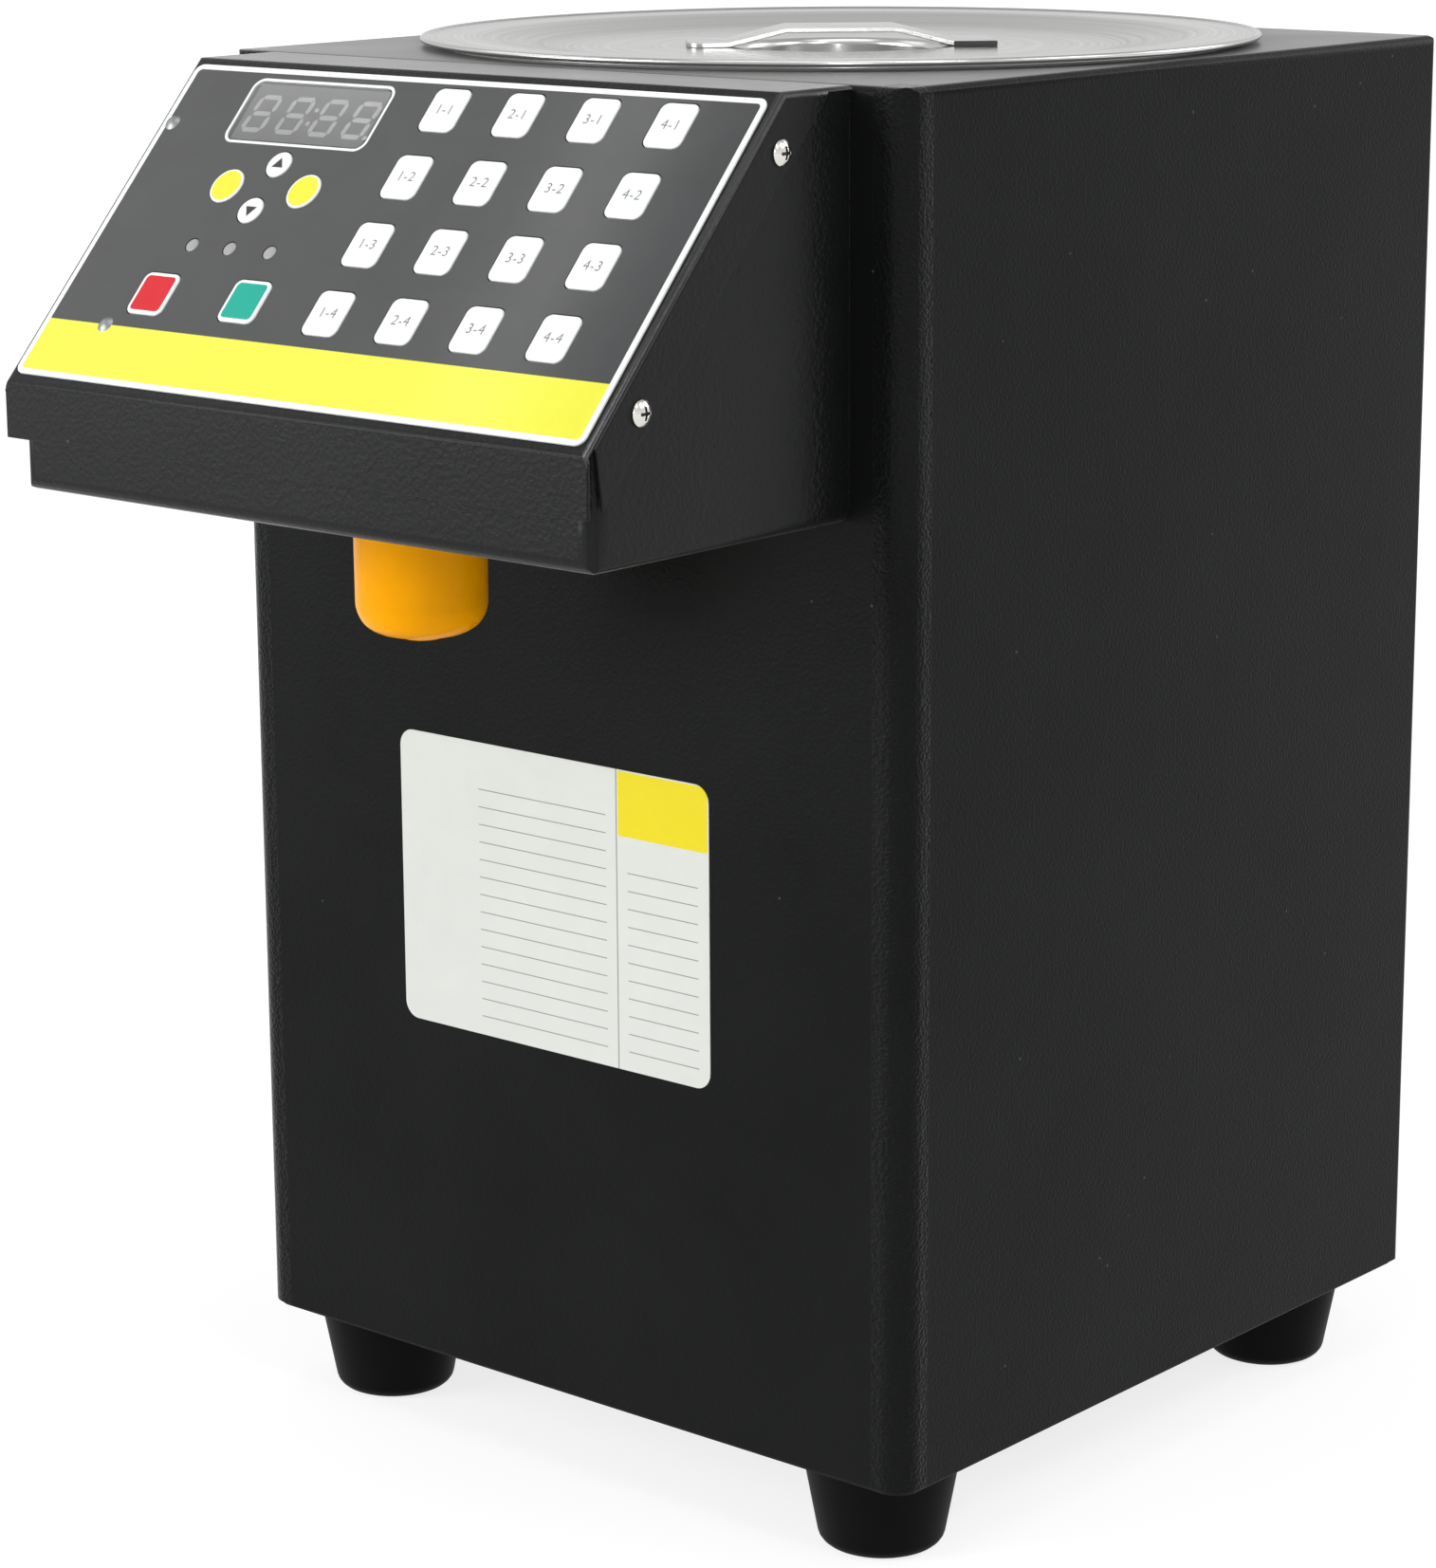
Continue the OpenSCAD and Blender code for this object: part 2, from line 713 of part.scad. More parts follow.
module square_key(spot, w, h) {
    key_cap() {
        translate(spot) pad(w, h, key_r);
        translate(spot) pad(w + 2 * key_skirt, h + 2 * key_skirt, key_r);
    }
}

module round_key(spot, d) {
    key_cap() {
        translate(spot) circle(d / 2);
        translate(spot) circle(d / 2 + key_skirt);
    }
}

module number_key(c, r) {
    color("#f2f4f4") square_key(key_spot(c, r), key_w, key_h);
}

module key_up() {
    color("#f2f4f4") round_key(arrow_up, arrow_key_d);
}

module key_down() {
    color("#f2f4f4") round_key(arrow_down, arrow_key_d);
}

module key_left_round() {
    color("#e8e04a") round_key(left_round, round_key_d);
}

module key_right_round() {
    color("#e8e04a") round_key(right_round, round_key_d);
}

module key_red() {
    color("#d83248") square_key(red_key, wide_key_w, wide_key_w);
}

module key_green() {
    color("#17a08c") square_key(green_key, wide_key_w, wide_key_w);
}

// --- Tank and lid ---

module syrup_tank() {
    flange_z = top_z + gasket_t;
    wall_in = tank_r - steel_t;
    low = [wall_in, tank_low + steel_t];
    color("#c9cccd") difference() {
        union() {
            translate([0, tank_y, 0]) rotate_extrude($fn = 96) polygon(concat(
                [[0, tank_low], [tank_r - 12, tank_low]],
                bend([tank_r - 12, tank_low], [tank_r, tank_low], [tank_r, top_z], 10),
                [[tank_r, flange_z], [flange_r, flange_z], [flange_r, flange_z + steel_t],
                 [wall_in, flange_z + steel_t]],
                bend([wall_in, top_z], low, [0, low[1]], 10 - steel_t), [[0, low[1]]]));
            translate([spout_x, spout_y, tank_low - 14]) cylinder(h = 14 + steel_t / 2, r = barb_r);
        }
        translate([spout_x, spout_y, tank_low - 15]) cylinder(h = 20, r = barb_r - 1);
    }
}

module tank_gasket() {
    color("#e4e4de") translate([0, tank_y, top_z]) difference() {
        cylinder(h = gasket_t, r = flange_r - 1, $fn = 96);
        translate([0, 0, -1]) cylinder(h = gasket_t + 2, r = gasket_in, $fn = 96);
    }
}

module lid_pan() {
    rim = lid_z + steel_t;
    deck = lid_floor_z + steel_t;
    well = lid_floor_z - well_depth;
    wall = well_r + steel_t;
    bead = 0.9;
    color("#d5d7d8") translate([0, tank_y, 0]) {
        rotate_extrude($fn = 96) polygon(concat(
            [[0, well], [well_r - 5, well]],
            bend([0, well], [wall, well], [wall, lid_floor_z], 4),
            bend([wall, well], [wall, lid_floor_z], [lid_floor_r, lid_floor_z], 1.5),
            [[lid_floor_r, lid_floor_z], [lid_flat_r, lid_z], [lid_r - bead, lid_z],
             [lid_r - bead, rim], [lid_flat_r, rim], [lid_floor_r, deck]],
            bend([lid_floor_r, deck], [well_r, deck], [well_r, well], 2.3),
            bend([well_r, deck], [well_r, well + steel_t], [0, well + steel_t], 3.2),
            [[0, well + steel_t]]));
        // rolled edge
        translate([0, 0, lid_z + steel_t / 2]) rotate_extrude($fn = 96)
            translate([lid_r - bead, 0]) circle(bead, $fn = 24);
    }
}

module lid_handle() {
    deck = lid_floor_z + steel_t;
    crest = strap_foot - strap_ramp;
    outer = [[-strap_reach, strap_t], [-strap_foot, strap_t], [-crest, strap_rise], [crest, strap_rise],
             [strap_foot, strap_t], [strap_reach, strap_t]];
    inner = [[strap_reach, 0], [strap_foot, 0], [crest, strap_rise - strap_t], [-crest, strap_rise - strap_t],
             [-strap_foot, 0], [-strap_reach, 0]];
    color("#c6c9ca") translate([0, tank_y, deck]) rotate(strap_turn) intersection() {
        along(-strap_w / 2, strap_w / 2) polygon(concat([outer[0]],
            bend(outer[0], outer[1], outer[2], 3), bend(outer[1], outer[2], outer[3], 6),
            bend(outer[2], outer[3], outer[4], 6), bend(outer[3], outer[4], outer[5], 3),
            [outer[5], inner[0]],
            bend(inner[0], inner[1], inner[2], 4.5), bend(inner[1], inner[2], inner[3], 4.5),
            bend(inner[2], inner[3], inner[4], 4.5), bend(inner[3], inner[4], inner[5], 4.5), [inner[5]]));
        translate([0, 0, -1]) linear_extrude(strap_rise + 5) pad(2 * strap_reach, strap_w, 5);
    }
}

// Silicone heating mat round the tank, split at the front where the hose passes
module heater_band() {
    r = tank_r + bond_gap;
    color("#b5562c") translate([0, tank_y, tank_low + heater_up]) difference() {
        cylinder(h = heater_h, r = r + heater_t, $fn = 96);
        translate([0, 0, -1]) cylinder(h = heater_h + 2, r = r, $fn = 96);
        translate([-heater_split / 2, -tank_r - 5, -1]) cube([heater_split, 40, heater_h + 2]);
    }
}

module temperature_probe() {
    clip = 1;
    off = tank_r + probe_r + clip + rest_gap;
    color("#b9bcbd") translate([0, tank_y, tank_low + probe_up]) rotate(215) {
        translate([off, 0, 0]) cylinder(h = probe_l, r = probe_r);
        translate([off, 0, probe_l / 2 - 4]) cylinder(h = 8, r = probe_r + clip);
        // saddle bonded to the tank wall
        translate([0, 0, probe_l / 2 - 6]) rotate(-4) rotate_extrude(angle = 8, $fn = 96)
            translate([tank_r + bond_gap, 0]) square([clip + 0.4, 12]);
    }
}

// --- Hoses ---

module tube_z(x, y, z0, z1) {
    translate([x, y, z0]) difference() {
        cylinder(h = z1 - z0, r = hose_r);
        translate([0, 0, -1]) cylinder(h = z1 - z0 + 2, r = barb_r + eps);
    }
}

module tube_y(x, z, y0, y1) {
    difference() {
        rod_y(x, z, hose_r, y0, y1);
        rod_y(x, z, barb_r + eps, y0 - 1, y1 + 1);
    }
}

// Quarter bend in the y-z plane about (x, y, z), from angle a to a + 90
module tube_bend(x, y, z, a) {
    translate([x, y, z]) rotate([90, 0, 90]) rotate([0, 0, a]) rotate_extrude(angle = 90, $fn = 32)
        translate([elbow_r, 0]) difference() {
            circle(hose_r);
            circle(barb_r + eps);
        }
}

module suction_hose() {
    high = tank_low - 3;
    level = high - hose_end - elbow_r;
    color("#d9dcd8") {
        tube_z(spout_x, spout_y, high - hose_end, high);
        tube_bend(spout_x, spout_y - elbow_r, high - hose_end, 270);
        tube_y(spout_x, level, pump_y + elbow_r, spout_y - elbow_r);
        tube_bend(spout_x, pump_y + elbow_r, level - elbow_r, 90);
        tube_z(spout_x, pump_y, pump_top + 1, level - elbow_r);
    }
}

module delivery_hose() {
    run = seat_barb_top + 6 + elbow_r;
    color("#d9dcd8") {
        tube_z(hose_x, pump_y, pump_top + 1, run - elbow_r);
        tube_bend(hose_x, pump_y - elbow_r, run - elbow_r, 0);
        tube_y(hose_x, run, nozzle_y + elbow_r, pump_y - elbow_r);
        tube_bend(hose_x, nozzle_y + elbow_r, run - elbow_r, 90);
        tube_z(hose_x, nozzle_y, seat_barb_top - hose_end + 1, run - elbow_r);
    }
}

// --- Pump ---

module pump_housing() {
    y0 = pump_y - pump_t / 2 + 4;
    y1 = pump_y + pump_t / 2;
    color("#3a3c3e") difference() {
        union() {
            along(y0, y1) plan(pump_x - pump_half, pump_x + pump_half, pump_low, pump_top, 8, 5);
            for (x = [hose_x, spout_x]) translate([x, pump_y, pump_top - eps])
                cylinder(h = port_top - pump_top, r = barb_r);
        }
        for (z = [drive_z, driven_z]) rod_y(pump_x, z, gear_tip + 0.25, y0 - 1, y0 + gear_w + 0.3);
        rod_y(pump_x, drive_z, shaft_r + 0.05, y0, y1 + 1);
        rod_y(pump_x, driven_z, shaft_r + 0.05, y0, y0 + gear_w + 3.5);
        for (x = [hose_x, spout_x]) {
            translate([x, pump_y, (drive_z + driven_z) / 2]) cylinder(h = 80, r = barb_r - 1);
            translate([min(x, pump_x), pump_y - 2, (drive_z + driven_z) / 2 - 2])
                cube([abs(x - pump_x), 4, 4]);
        }
    }
}

module pump_cover() {
    y0 = pump_y - pump_t / 2;
    color("#a9acae") difference() {
        along(y0, y0 + 4) plan(pump_x - pump_half, pump_x + pump_half, pump_low, pump_top, 8, 5);
        for (z = [drive_z, driven_z]) rod_y(pump_x, z, shaft_r + 0.05, y0 + 1.4, y0 + 5);
    }
}

// Involute gear outline with its tooth count, thinned by slack for backlash
module gear_outline(slack) {
    base = pitch_r * cos(20);
    function involute(r) = r <= base ? 0 : tan(acos(base / r)) * 180 / PI - acos(base / r);
    function half_angle(r) =
        90 / gear_teeth - slack / pitch_r * 90 / PI + involute(pitch_r) - involute(max(r, base));
    steps = [gear_root, base, (base + pitch_r) / 2, pitch_r, (pitch_r + gear_tip) / 2, gear_tip];
    flank = [for (r = steps) [r, half_angle(r)]];
    polygon([for (t = [0:gear_teeth - 1]) let (a = t * 360 / gear_teeth) each concat(
        [for (f = flank) f[0] * [cos(a - f[1]), sin(a - f[1])]],
        [for (i = [5:-1:0]) let (f = flank[i]) f[0] * [cos(a + f[1]), sin(a + f[1])]])]);
}

module pump_gear(z, turn, tail) {
    y0 = pump_y - pump_t / 2 + 4.15;
    translate([pump_x, y0, z]) rotate([-90, 0, 0]) {
        linear_extrude(gear_w) rotate(turn) gear_outline(0.35);
        translate([0, 0, -2.4]) cylinder(h = 2.4 + gear_w + tail, r = shaft_r);
    }
}

module drive_gear() {
    color("#e9e6dc") pump_gear(drive_z, 90, 14);
}

module driven_gear() {
    color("#e9e6dc") pump_gear(driven_z, 90 + 180 / gear_teeth, 3);
}

module pump_bracket() {
    y1 = bracket_y + bracket_t;
    color("#8f9294") difference() {
        union() {
            along(bracket_y, y1) plan(pump_x - bracket_half, pump_x + bracket_half, base_z, pump_top + 2, 1, 8);
            translate([pump_x - bracket_half, bracket_y, base_z])
                cube([2 * bracket_half, bracket_foot, bracket_t]);
        }
        rod_y(pump_x, drive_z, shaft_r + 4, bracket_y - 1, y1 + 1);
    }
}

module pump_motor() {
    y0 = bracket_y + bracket_t;
    color("#2e3133") difference() {
        union() {
            rod_y(pump_x, drive_z, motor_r * 0.86, y0, y0 + 22);
            rod_y(pump_x, drive_z, motor_r, y0 + 22 - eps, y0 + motor_l - 6);
            rod_y(pump_x, drive_z, motor_r * 0.4, y0 + motor_l - 6 - eps, y0 + motor_l);
            rod_y(pump_x, drive_z, 6.6, bracket_y + 0.3, y0 + eps);
        }
        rod_y(pump_x, drive_z, shaft_r + 0.05, bracket_y - 1, y0 + 12);
    }
}

// --- Nozzle ---

module nozzle_seat() {
    deck = console_low + sheet_t;
    color("#e08a12") translate([0, nozzle_y, 0]) difference() {
        union() {
            translate([0, 0, neck_low]) cylinder(h = deck - neck_low + eps, r = neck_r);
            translate([0, 0, deck]) cylinder(h = 4.5, r = 22);
            translate([0, 0, deck + 4]) cylinder(h = 6, r = 11, $fn = 6);
            translate([0, 0, deck + 9]) cylinder(h = seat_barb_top - deck - 9, r = barb_r);
        }
        translate([0, 0, neck_low - 1]) cylinder(h = seat_barb_top - neck_low + 2, r = barb_r - 1);
        translate([0, 0, neck_low - 1]) rotate_extrude()
            translate([ring_r - ring_section - 0.1, 0]) square([2 * ring_section + 0.2, 2]);
    }
}

module nozzle_o_ring() {
    color("#202020") translate([0, nozzle_y, neck_low - 0.35]) rotate_extrude()
        translate([ring_r, 0]) circle(ring_section);
}

module nozzle_cap() {
    top = console_low - rest_gap;
    shelf = neck_low - 2;
    color("#f0a50a") translate([0, nozzle_y, 0]) rotate_extrude() polygon(concat(
        [[outlet_r, nozzle_low]],
        bend([outlet_r, nozzle_low], [nozzle_r - 0.4, nozzle_low], [nozzle_r, top], nozzle_round, 8),
        [[nozzle_r, top], [neck_r + 0.25, top], [neck_r + 0.25, shelf], [cavity_r, shelf],
         [cavity_r, spring_seat], [outlet_r, spring_seat]]));
}

module valve_plunger() {
    color("#f5f5f0") translate([0, nozzle_y, plunger_top]) rotate_extrude() polygon([[0, 0],
        [barb_r + 0.5, 0], [plunger_r, -plunger_head / 2], [plunger_r, -plunger_head],
        [plunger_stem_r, -plunger_head], [plunger_stem_r, -plunger_head - plunger_stem],
        [0, -plunger_head - plunger_stem]]);
}

spring_top = plunger_top - plunger_head - spring_wire;
spring_low = spring_seat + spring_wire;

function coil_point(i, steps) =
    let (f = i / steps, a = 360 * spring_turns * f)
    [spring_r * cos(a), spring_r * sin(a), spring_low + (spring_top - spring_low) * f];

// Wound spring: one tube of six sides along a rising helix
module valve_spring() {
    rings = spring_turns * 12;
    points = [for (i = [0:rings]) let (c = coil_point(i, rings), a = 360 * spring_turns * i / rings)
        for (k = [0:5]) let (b = 60 * k)
            c + spring_wire * [cos(b) * cos(a), cos(b) * sin(a), sin(b)]];
    sides = [for (i = [0:rings - 1]) for (k = [0:5]) let (a = i * 6 + k, b = i * 6 + (k + 1) % 6)
        each [[a, b, a + 6], [b, b + 6, a + 6]]];
    caps = [for (k = [1:4]) each [[0, k + 1, k], [rings * 6, rings * 6 + k, rings * 6 + k + 1]]];
    color("#c4c7c8") translate([0, nozzle_y, 0]) polyhedron(concat(points), concat(sides, caps));
}

echo(spring_least_gap = (spring_top - spring_low) / spring_turns - 2 * spring_wire);

// --- Electrics ---

module power_supply() {
    step = [13, 16];
    color("#a4a7a9") translate([supply_x, supply_y, base_z]) difference() {
        cube([supply_w, supply_d, supply_h]);
        // open terminal step
        translate([-1, -1, step[1]]) cube([supply_w + 2, step[0], supply_h]);
        for (i = [0:6]) translate([12 + 9 * i, 24, supply_h - 1]) cube([4, supply_d - 36, 2]);
    }
}

module power_inlet() {
    recess_z = inlet_z - 13;
    y1 = cover_y + inlet_flange;
    color("#141414") {
        difference() {
            union() {
                along(cover_y, y1) translate([inlet_x, inlet_z]) pad(inlet_w, inlet_h, 3);
                along(cover_y - inlet_depth, cover_y + eps) translate([inlet_x, inlet_z])
                    square([inlet_body_w, inlet_body_h], center = true);
            }
            along(y1 - 16, y1 + 1) translate([inlet_x, recess_z]) pad(24.6, 16.8, 3);
            along(y1 - 14, y1 + 1) translate([inlet_x, inlet_z + rocker_up])
                square([rocker_w + 0.8, rocker_h + 0.8], center = true);
            for (s = [-1, 1]) rod_y(inlet_x, inlet_z + s * (inlet_h / 2 - 3.2), 1.7, cover_y - 1, y1 + 1);
            rocker_pin(2.05, 0.2);
        }
        for (p = [[-7, -2], [7, -2], [0, 2.5]]) translate([inlet_x + p[0] - 1, y1 - 17, recess_z + p[1] - 2])
            cube([2, 13, 4]);
    }
}

// Pivot of the rocker, across the machine
module rocker_pin(r, play) {
    half = rocker_w / 2 + 1.6 + play;
    translate([inlet_x - half, cover_y - rocker_depth, inlet_z + rocker_up]) rotate([0, 90, 0])
        cylinder(h = 2 * half, r = r);
}

module power_rocker() {
    end_r = rocker_h / 2 + 0.1;
    face = rocker_depth + inlet_flange - 0.9;
    color("#202020") {
        rocker_pin(2, 0);
        across(inlet_x - rocker_w / 2, inlet_x + rocker_w / 2)
            translate([cover_y - rocker_depth, inlet_z + rocker_up]) rotate(-rocker_tilt) difference() {
                circle(end_r, $fn = 64);
                translate([-end_r - 1, -end_r - 1]) square([end_r - 4, 2 * end_r + 2]);
                // two faces that meet in a shallow valley
                rotate(-rocker_tilt) translate([face, 0]) square(20);
                rotate(rocker_tilt) translate([face, -20]) square(20);
            }
    }
}

body_shell();
base_pan();
rear_cover();
rear_cover_screws();
feet();
foot_screws();
console_tray();
console_cover();
console_screws();
panel_overlay();
panel_studs();
display_window();
display_module();
control_board();
indicator_lamps();
tact_switches();
key_up();
key_down();
key_left_round();
key_right_round();
key_red();
key_green();
for (c = [1:4]) for (r = [1:4]) number_key(c, r);
syrup_tank();
tank_gasket();
lid_pan();
lid_handle();
heater_band();
temperature_probe();
suction_hose();
pump_housing();
pump_cover();
drive_gear();
driven_gear();
pump_motor();
pump_bracket();
delivery_hose();
nozzle_seat();
nozzle_o_ring();
valve_plunger();
valve_spring();
nozzle_cap();
power_supply();
power_inlet();
power_rocker();
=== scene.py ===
import math

import bmesh
import bpy
from mathutils import Matrix, Vector


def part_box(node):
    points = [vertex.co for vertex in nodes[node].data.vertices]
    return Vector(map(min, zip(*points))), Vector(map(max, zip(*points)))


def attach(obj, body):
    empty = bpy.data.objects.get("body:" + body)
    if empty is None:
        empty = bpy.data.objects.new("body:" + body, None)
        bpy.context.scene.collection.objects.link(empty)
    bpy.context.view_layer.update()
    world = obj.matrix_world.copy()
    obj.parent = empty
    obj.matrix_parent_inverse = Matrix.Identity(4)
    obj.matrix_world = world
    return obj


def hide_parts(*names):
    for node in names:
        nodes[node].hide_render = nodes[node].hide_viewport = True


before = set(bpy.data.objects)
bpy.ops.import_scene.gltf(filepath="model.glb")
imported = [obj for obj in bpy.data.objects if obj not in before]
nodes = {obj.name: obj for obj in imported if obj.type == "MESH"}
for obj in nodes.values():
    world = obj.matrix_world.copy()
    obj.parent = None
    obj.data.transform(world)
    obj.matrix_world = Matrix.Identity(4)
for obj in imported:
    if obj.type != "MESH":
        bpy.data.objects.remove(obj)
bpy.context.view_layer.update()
scene = bpy.context.scene


# helpers that place shader nodes; an input may be a number or another node's output
def addNode(tree, kind, inputs=None, **settings):
    made = tree.nodes.new("ShaderNode" + kind)
    for name, value in settings.items():
        setattr(made, name, value)
    for name, value in (inputs or {}).items():
        setInput(tree, made.inputs[name], value)
    return made


def setInput(tree, socket, value):
    if isinstance(value, bpy.types.NodeSocket):
        tree.links.new(value, socket)
    else:
        socket.default_value = value


def maths(tree, operation, first, second=0.5):
    return addNode(tree, "Math", {0: first, 1: second}, operation=operation).outputs[0]


def times(tree, first, second):
    return maths(tree, "MULTIPLY", first, second)


def span(tree, value, low, high, newLow=0.0, newHigh=1.0):
    inputs = {"Value": value, "From Min": low, "From Max": high, "To Min": newLow, "To Max": newHigh}
    return addNode(tree, "MapRange", inputs).outputs["Result"]


def blendColour(tree, factor, first, second):
    made = addNode(tree, "Mix", data_type="RGBA")
    for index, value in ((0, factor), (6, first), (7, second)):
        setInput(tree, made.inputs[index], value)
    return made.outputs[2]


def noise(tree, vector, scale, detail, roughness, distortion=0.0):
    inputs = {"Vector": vector, "Scale": scale, "Detail": detail, "Roughness": roughness,
              "Distortion": distortion}
    return addNode(tree, "TexNoise", inputs).outputs[0]


def splitVector(tree, vector):
    return addNode(tree, "SeparateXYZ", {0: vector}).outputs


def lengthAcross(tree, vector):
    # distance from the upright axis
    flat = addNode(tree, "VectorMath", {0: vector, 1: (1.0, 1.0, 0.0)}, operation="MULTIPLY")
    return addNode(tree, "VectorMath", {0: flat.outputs[0]}, operation="LENGTH").outputs["Value"]


def newGroup(name, takes, gives):
    tree = bpy.data.node_groups.new(name, "ShaderNodeTree")
    for label, kind, value in takes:
        socket = tree.interface.new_socket(name=label, in_out="INPUT", socket_type="NodeSocket" + kind)
        if value is not None:
            socket.default_value = value
    for label in gives:
        tree.interface.new_socket(name=label, in_out="OUTPUT", socket_type="NodeSocketFloat")
    return tree, tree.nodes.new("NodeGroupInput").outputs, tree.nodes.new("NodeGroupOutput").inputs


# bumpy skin of powder coat: rounded beads with a finer grain between them
powderGrain, taken, given = newGroup(
    "powderGrain",
    [("Vector", "Vector", None), ("Scale", "Float", 900.0), ("Fine", "Float", 0.35)],
    ["Height", "Mottle"])
beads = noise(powderGrain, taken["Vector"], taken["Scale"], 1.0, 0.4)
fineBeads = noise(powderGrain, taken["Vector"], times(powderGrain, taken["Scale"], 2.7), 2.0, 0.55)
fineShare = times(powderGrain, fineBeads, taken["Fine"])
powderGrain.links.new(maths(powderGrain, "ADD", beads, fineShare), given["Height"])
powderGrain.links.new(noise(powderGrain, taken["Vector"], 14.0, 3.0, 0.6), given["Mottle"])

# handling marks: soft smudges, and a few specks of dust
handlingMarks, taken, given = newGroup(
    "handlingMarks",
    [("Vector", "Vector", None), ("Smudge scale", "Float", 22.0),
     ("Speck scale", "Float", 85.0), ("Speck size", "Float", 0.035)],
    ["Smudge", "Speck"])
smudge = noise(handlingMarks, taken["Vector"], taken["Smudge scale"], 4.0, 0.62, 0.4)
handlingMarks.links.new(span(handlingMarks, smudge, 0.35, 0.7), given["Smudge"])
cells = addNode(handlingMarks, "TexVoronoi",
                {"Vector": taken["Vector"], "Scale": taken["Speck scale"]}).outputs
near = maths(handlingMarks, "LESS_THAN", cells["Distance"], taken["Speck size"])
cellRed = addNode(handlingMarks, "SeparateColor", {0: cells["Color"]}).outputs[0]
rare = maths(handlingMarks, "GREATER_THAN", cellRed, 0.62)
handlingMarks.links.new(times(handlingMarks, near, rare), given["Speck"])

# polishing lines in steel, round an upright axis or straight along X
polishLines, taken, given = newGroup(
    "polishLines",
    [("Vector", "Vector", None), ("Turned", "Float", 1.0), ("Density", "Float", 1400.0)],
    ["Lines", "Cloud"])
across, along, up = splitVector(polishLines, taken["Vector"])
reach = lengthAcross(polishLines, taken["Vector"])
turnedWay = addNode(polishLines, "CombineXYZ", {0: reach, 1: times(polishLines, across, 0.012), 2: up})
straightWay = addNode(polishLines, "CombineXYZ", {0: times(polishLines, across, 0.02), 1: along, 2: up})
chosenWay = addNode(polishLines, "Mix", data_type="VECTOR")
for index, value in ((0, taken["Turned"]), (4, straightWay.outputs[0]), (5, turnedWay.outputs[0])):
    setInput(polishLines, chosenWay.inputs[index], value)
polishLines.links.new(noise(polishLines, chosenWay.outputs[1], taken["Density"], 3.0, 0.65), given["Lines"])
polishLines.links.new(noise(polishLines, taken["Vector"], 18.0, 3.0, 0.5), given["Cloud"])

# fine skin of a moulding
mouldedSkin, taken, given = newGroup(
    "mouldedSkin", [("Vector", "Vector", None), ("Scale", "Float", 2400.0)], ["Height", "Mottle"])
mouldedSkin.links.new(noise(mouldedSkin, taken["Vector"], taken["Scale"], 2.0, 0.5), given["Height"])
mouldedSkin.links.new(noise(mouldedSkin, taken["Vector"], 45.0, 3.0, 0.55, 0.8), given["Mottle"])

# a printed box with round corners in the XY plane of its vector: what lies inside it, and its outline
printedBox, taken, given = newGroup(
    "printedBox",
    [("Vector", "Vector", None), ("Half X", "Float", 0.05), ("Half Y", "Float", 0.05),
     ("Corner", "Float", 0.003), ("Line", "Float", 0.001)],
    ["Inside", "Outline"])
printEdge = 0.00005  # metres over which a print fades


def pastSide(axis, half):
    over = maths(printedBox, "SUBTRACT", maths(printedBox, "ABSOLUTE", axis), half)
    return maths(printedBox, "ADD", over, taken["Corner"])


across, along, up = splitVector(printedBox, taken["Vector"])
outX, outY = pastSide(across, taken["Half X"]), pastSide(along, taken["Half Y"])
beyond = addNode(printedBox, "CombineXYZ", {
    0: maths(printedBox, "MAXIMUM", outX, 0.0), 1: maths(printedBox, "MAXIMUM", outY, 0.0)})
cornerWay = addNode(printedBox, "VectorMath", {0: beyond.outputs[0]}, operation="LENGTH").outputs["Value"]
within = maths(printedBox, "MINIMUM", maths(printedBox, "MAXIMUM", outX, outY), 0.0)
distance = maths(printedBox, "SUBTRACT", maths(printedBox, "ADD", cornerWay, within), taken["Corner"])
inside = span(printedBox, distance, printEdge, -printEdge)
core = span(printedBox, maths(printedBox, "ADD", distance, taken["Line"]), printEdge, -printEdge)
printedBox.links.new(inside, given["Inside"])
printedBox.links.new(maths(printedBox, "SUBTRACT", inside, core), given["Outline"])
print("shared effects:", len(bpy.data.node_groups))


# the kinds of material
def newMaterial(name, sockets):
    made = bpy.data.materials.new(name)
    made.use_nodes = True
    shader = made.node_tree.nodes["Principled BSDF"]
    for label, value in sockets.items():
        shader.inputs[label].default_value = value
    return made, made.node_tree, shader


def objectPoint(tree, centre=None):
    where = addNode(tree, "TexCoord").outputs["Object"]
    if not centre:
        return where
    return addNode(tree, "Mapping", {"Vector": where, "Location": tuple(-c for c in centre)}).outputs[0]


def useGroup(tree, group, vector, **sockets):
    made = addNode(tree, "Group", node_tree=group)
    tree.links.new(vector, made.inputs["Vector"])
    for name, value in sockets.items():
        made.inputs[name].default_value = value
    return made.outputs


def grey(value):
    return (value, value, value, 1.0)


def shade(colour, share, lift=0.0):
    return tuple(c * share + lift for c in colour[:3]) + (1.0,)


def bump(tree, shader, height, distance):
    made = addNode(tree, "Bump", {"Height": height, "Distance": distance, "Strength": 1.0})
    tree.links.new(made.outputs[0], shader.inputs["Normal"])


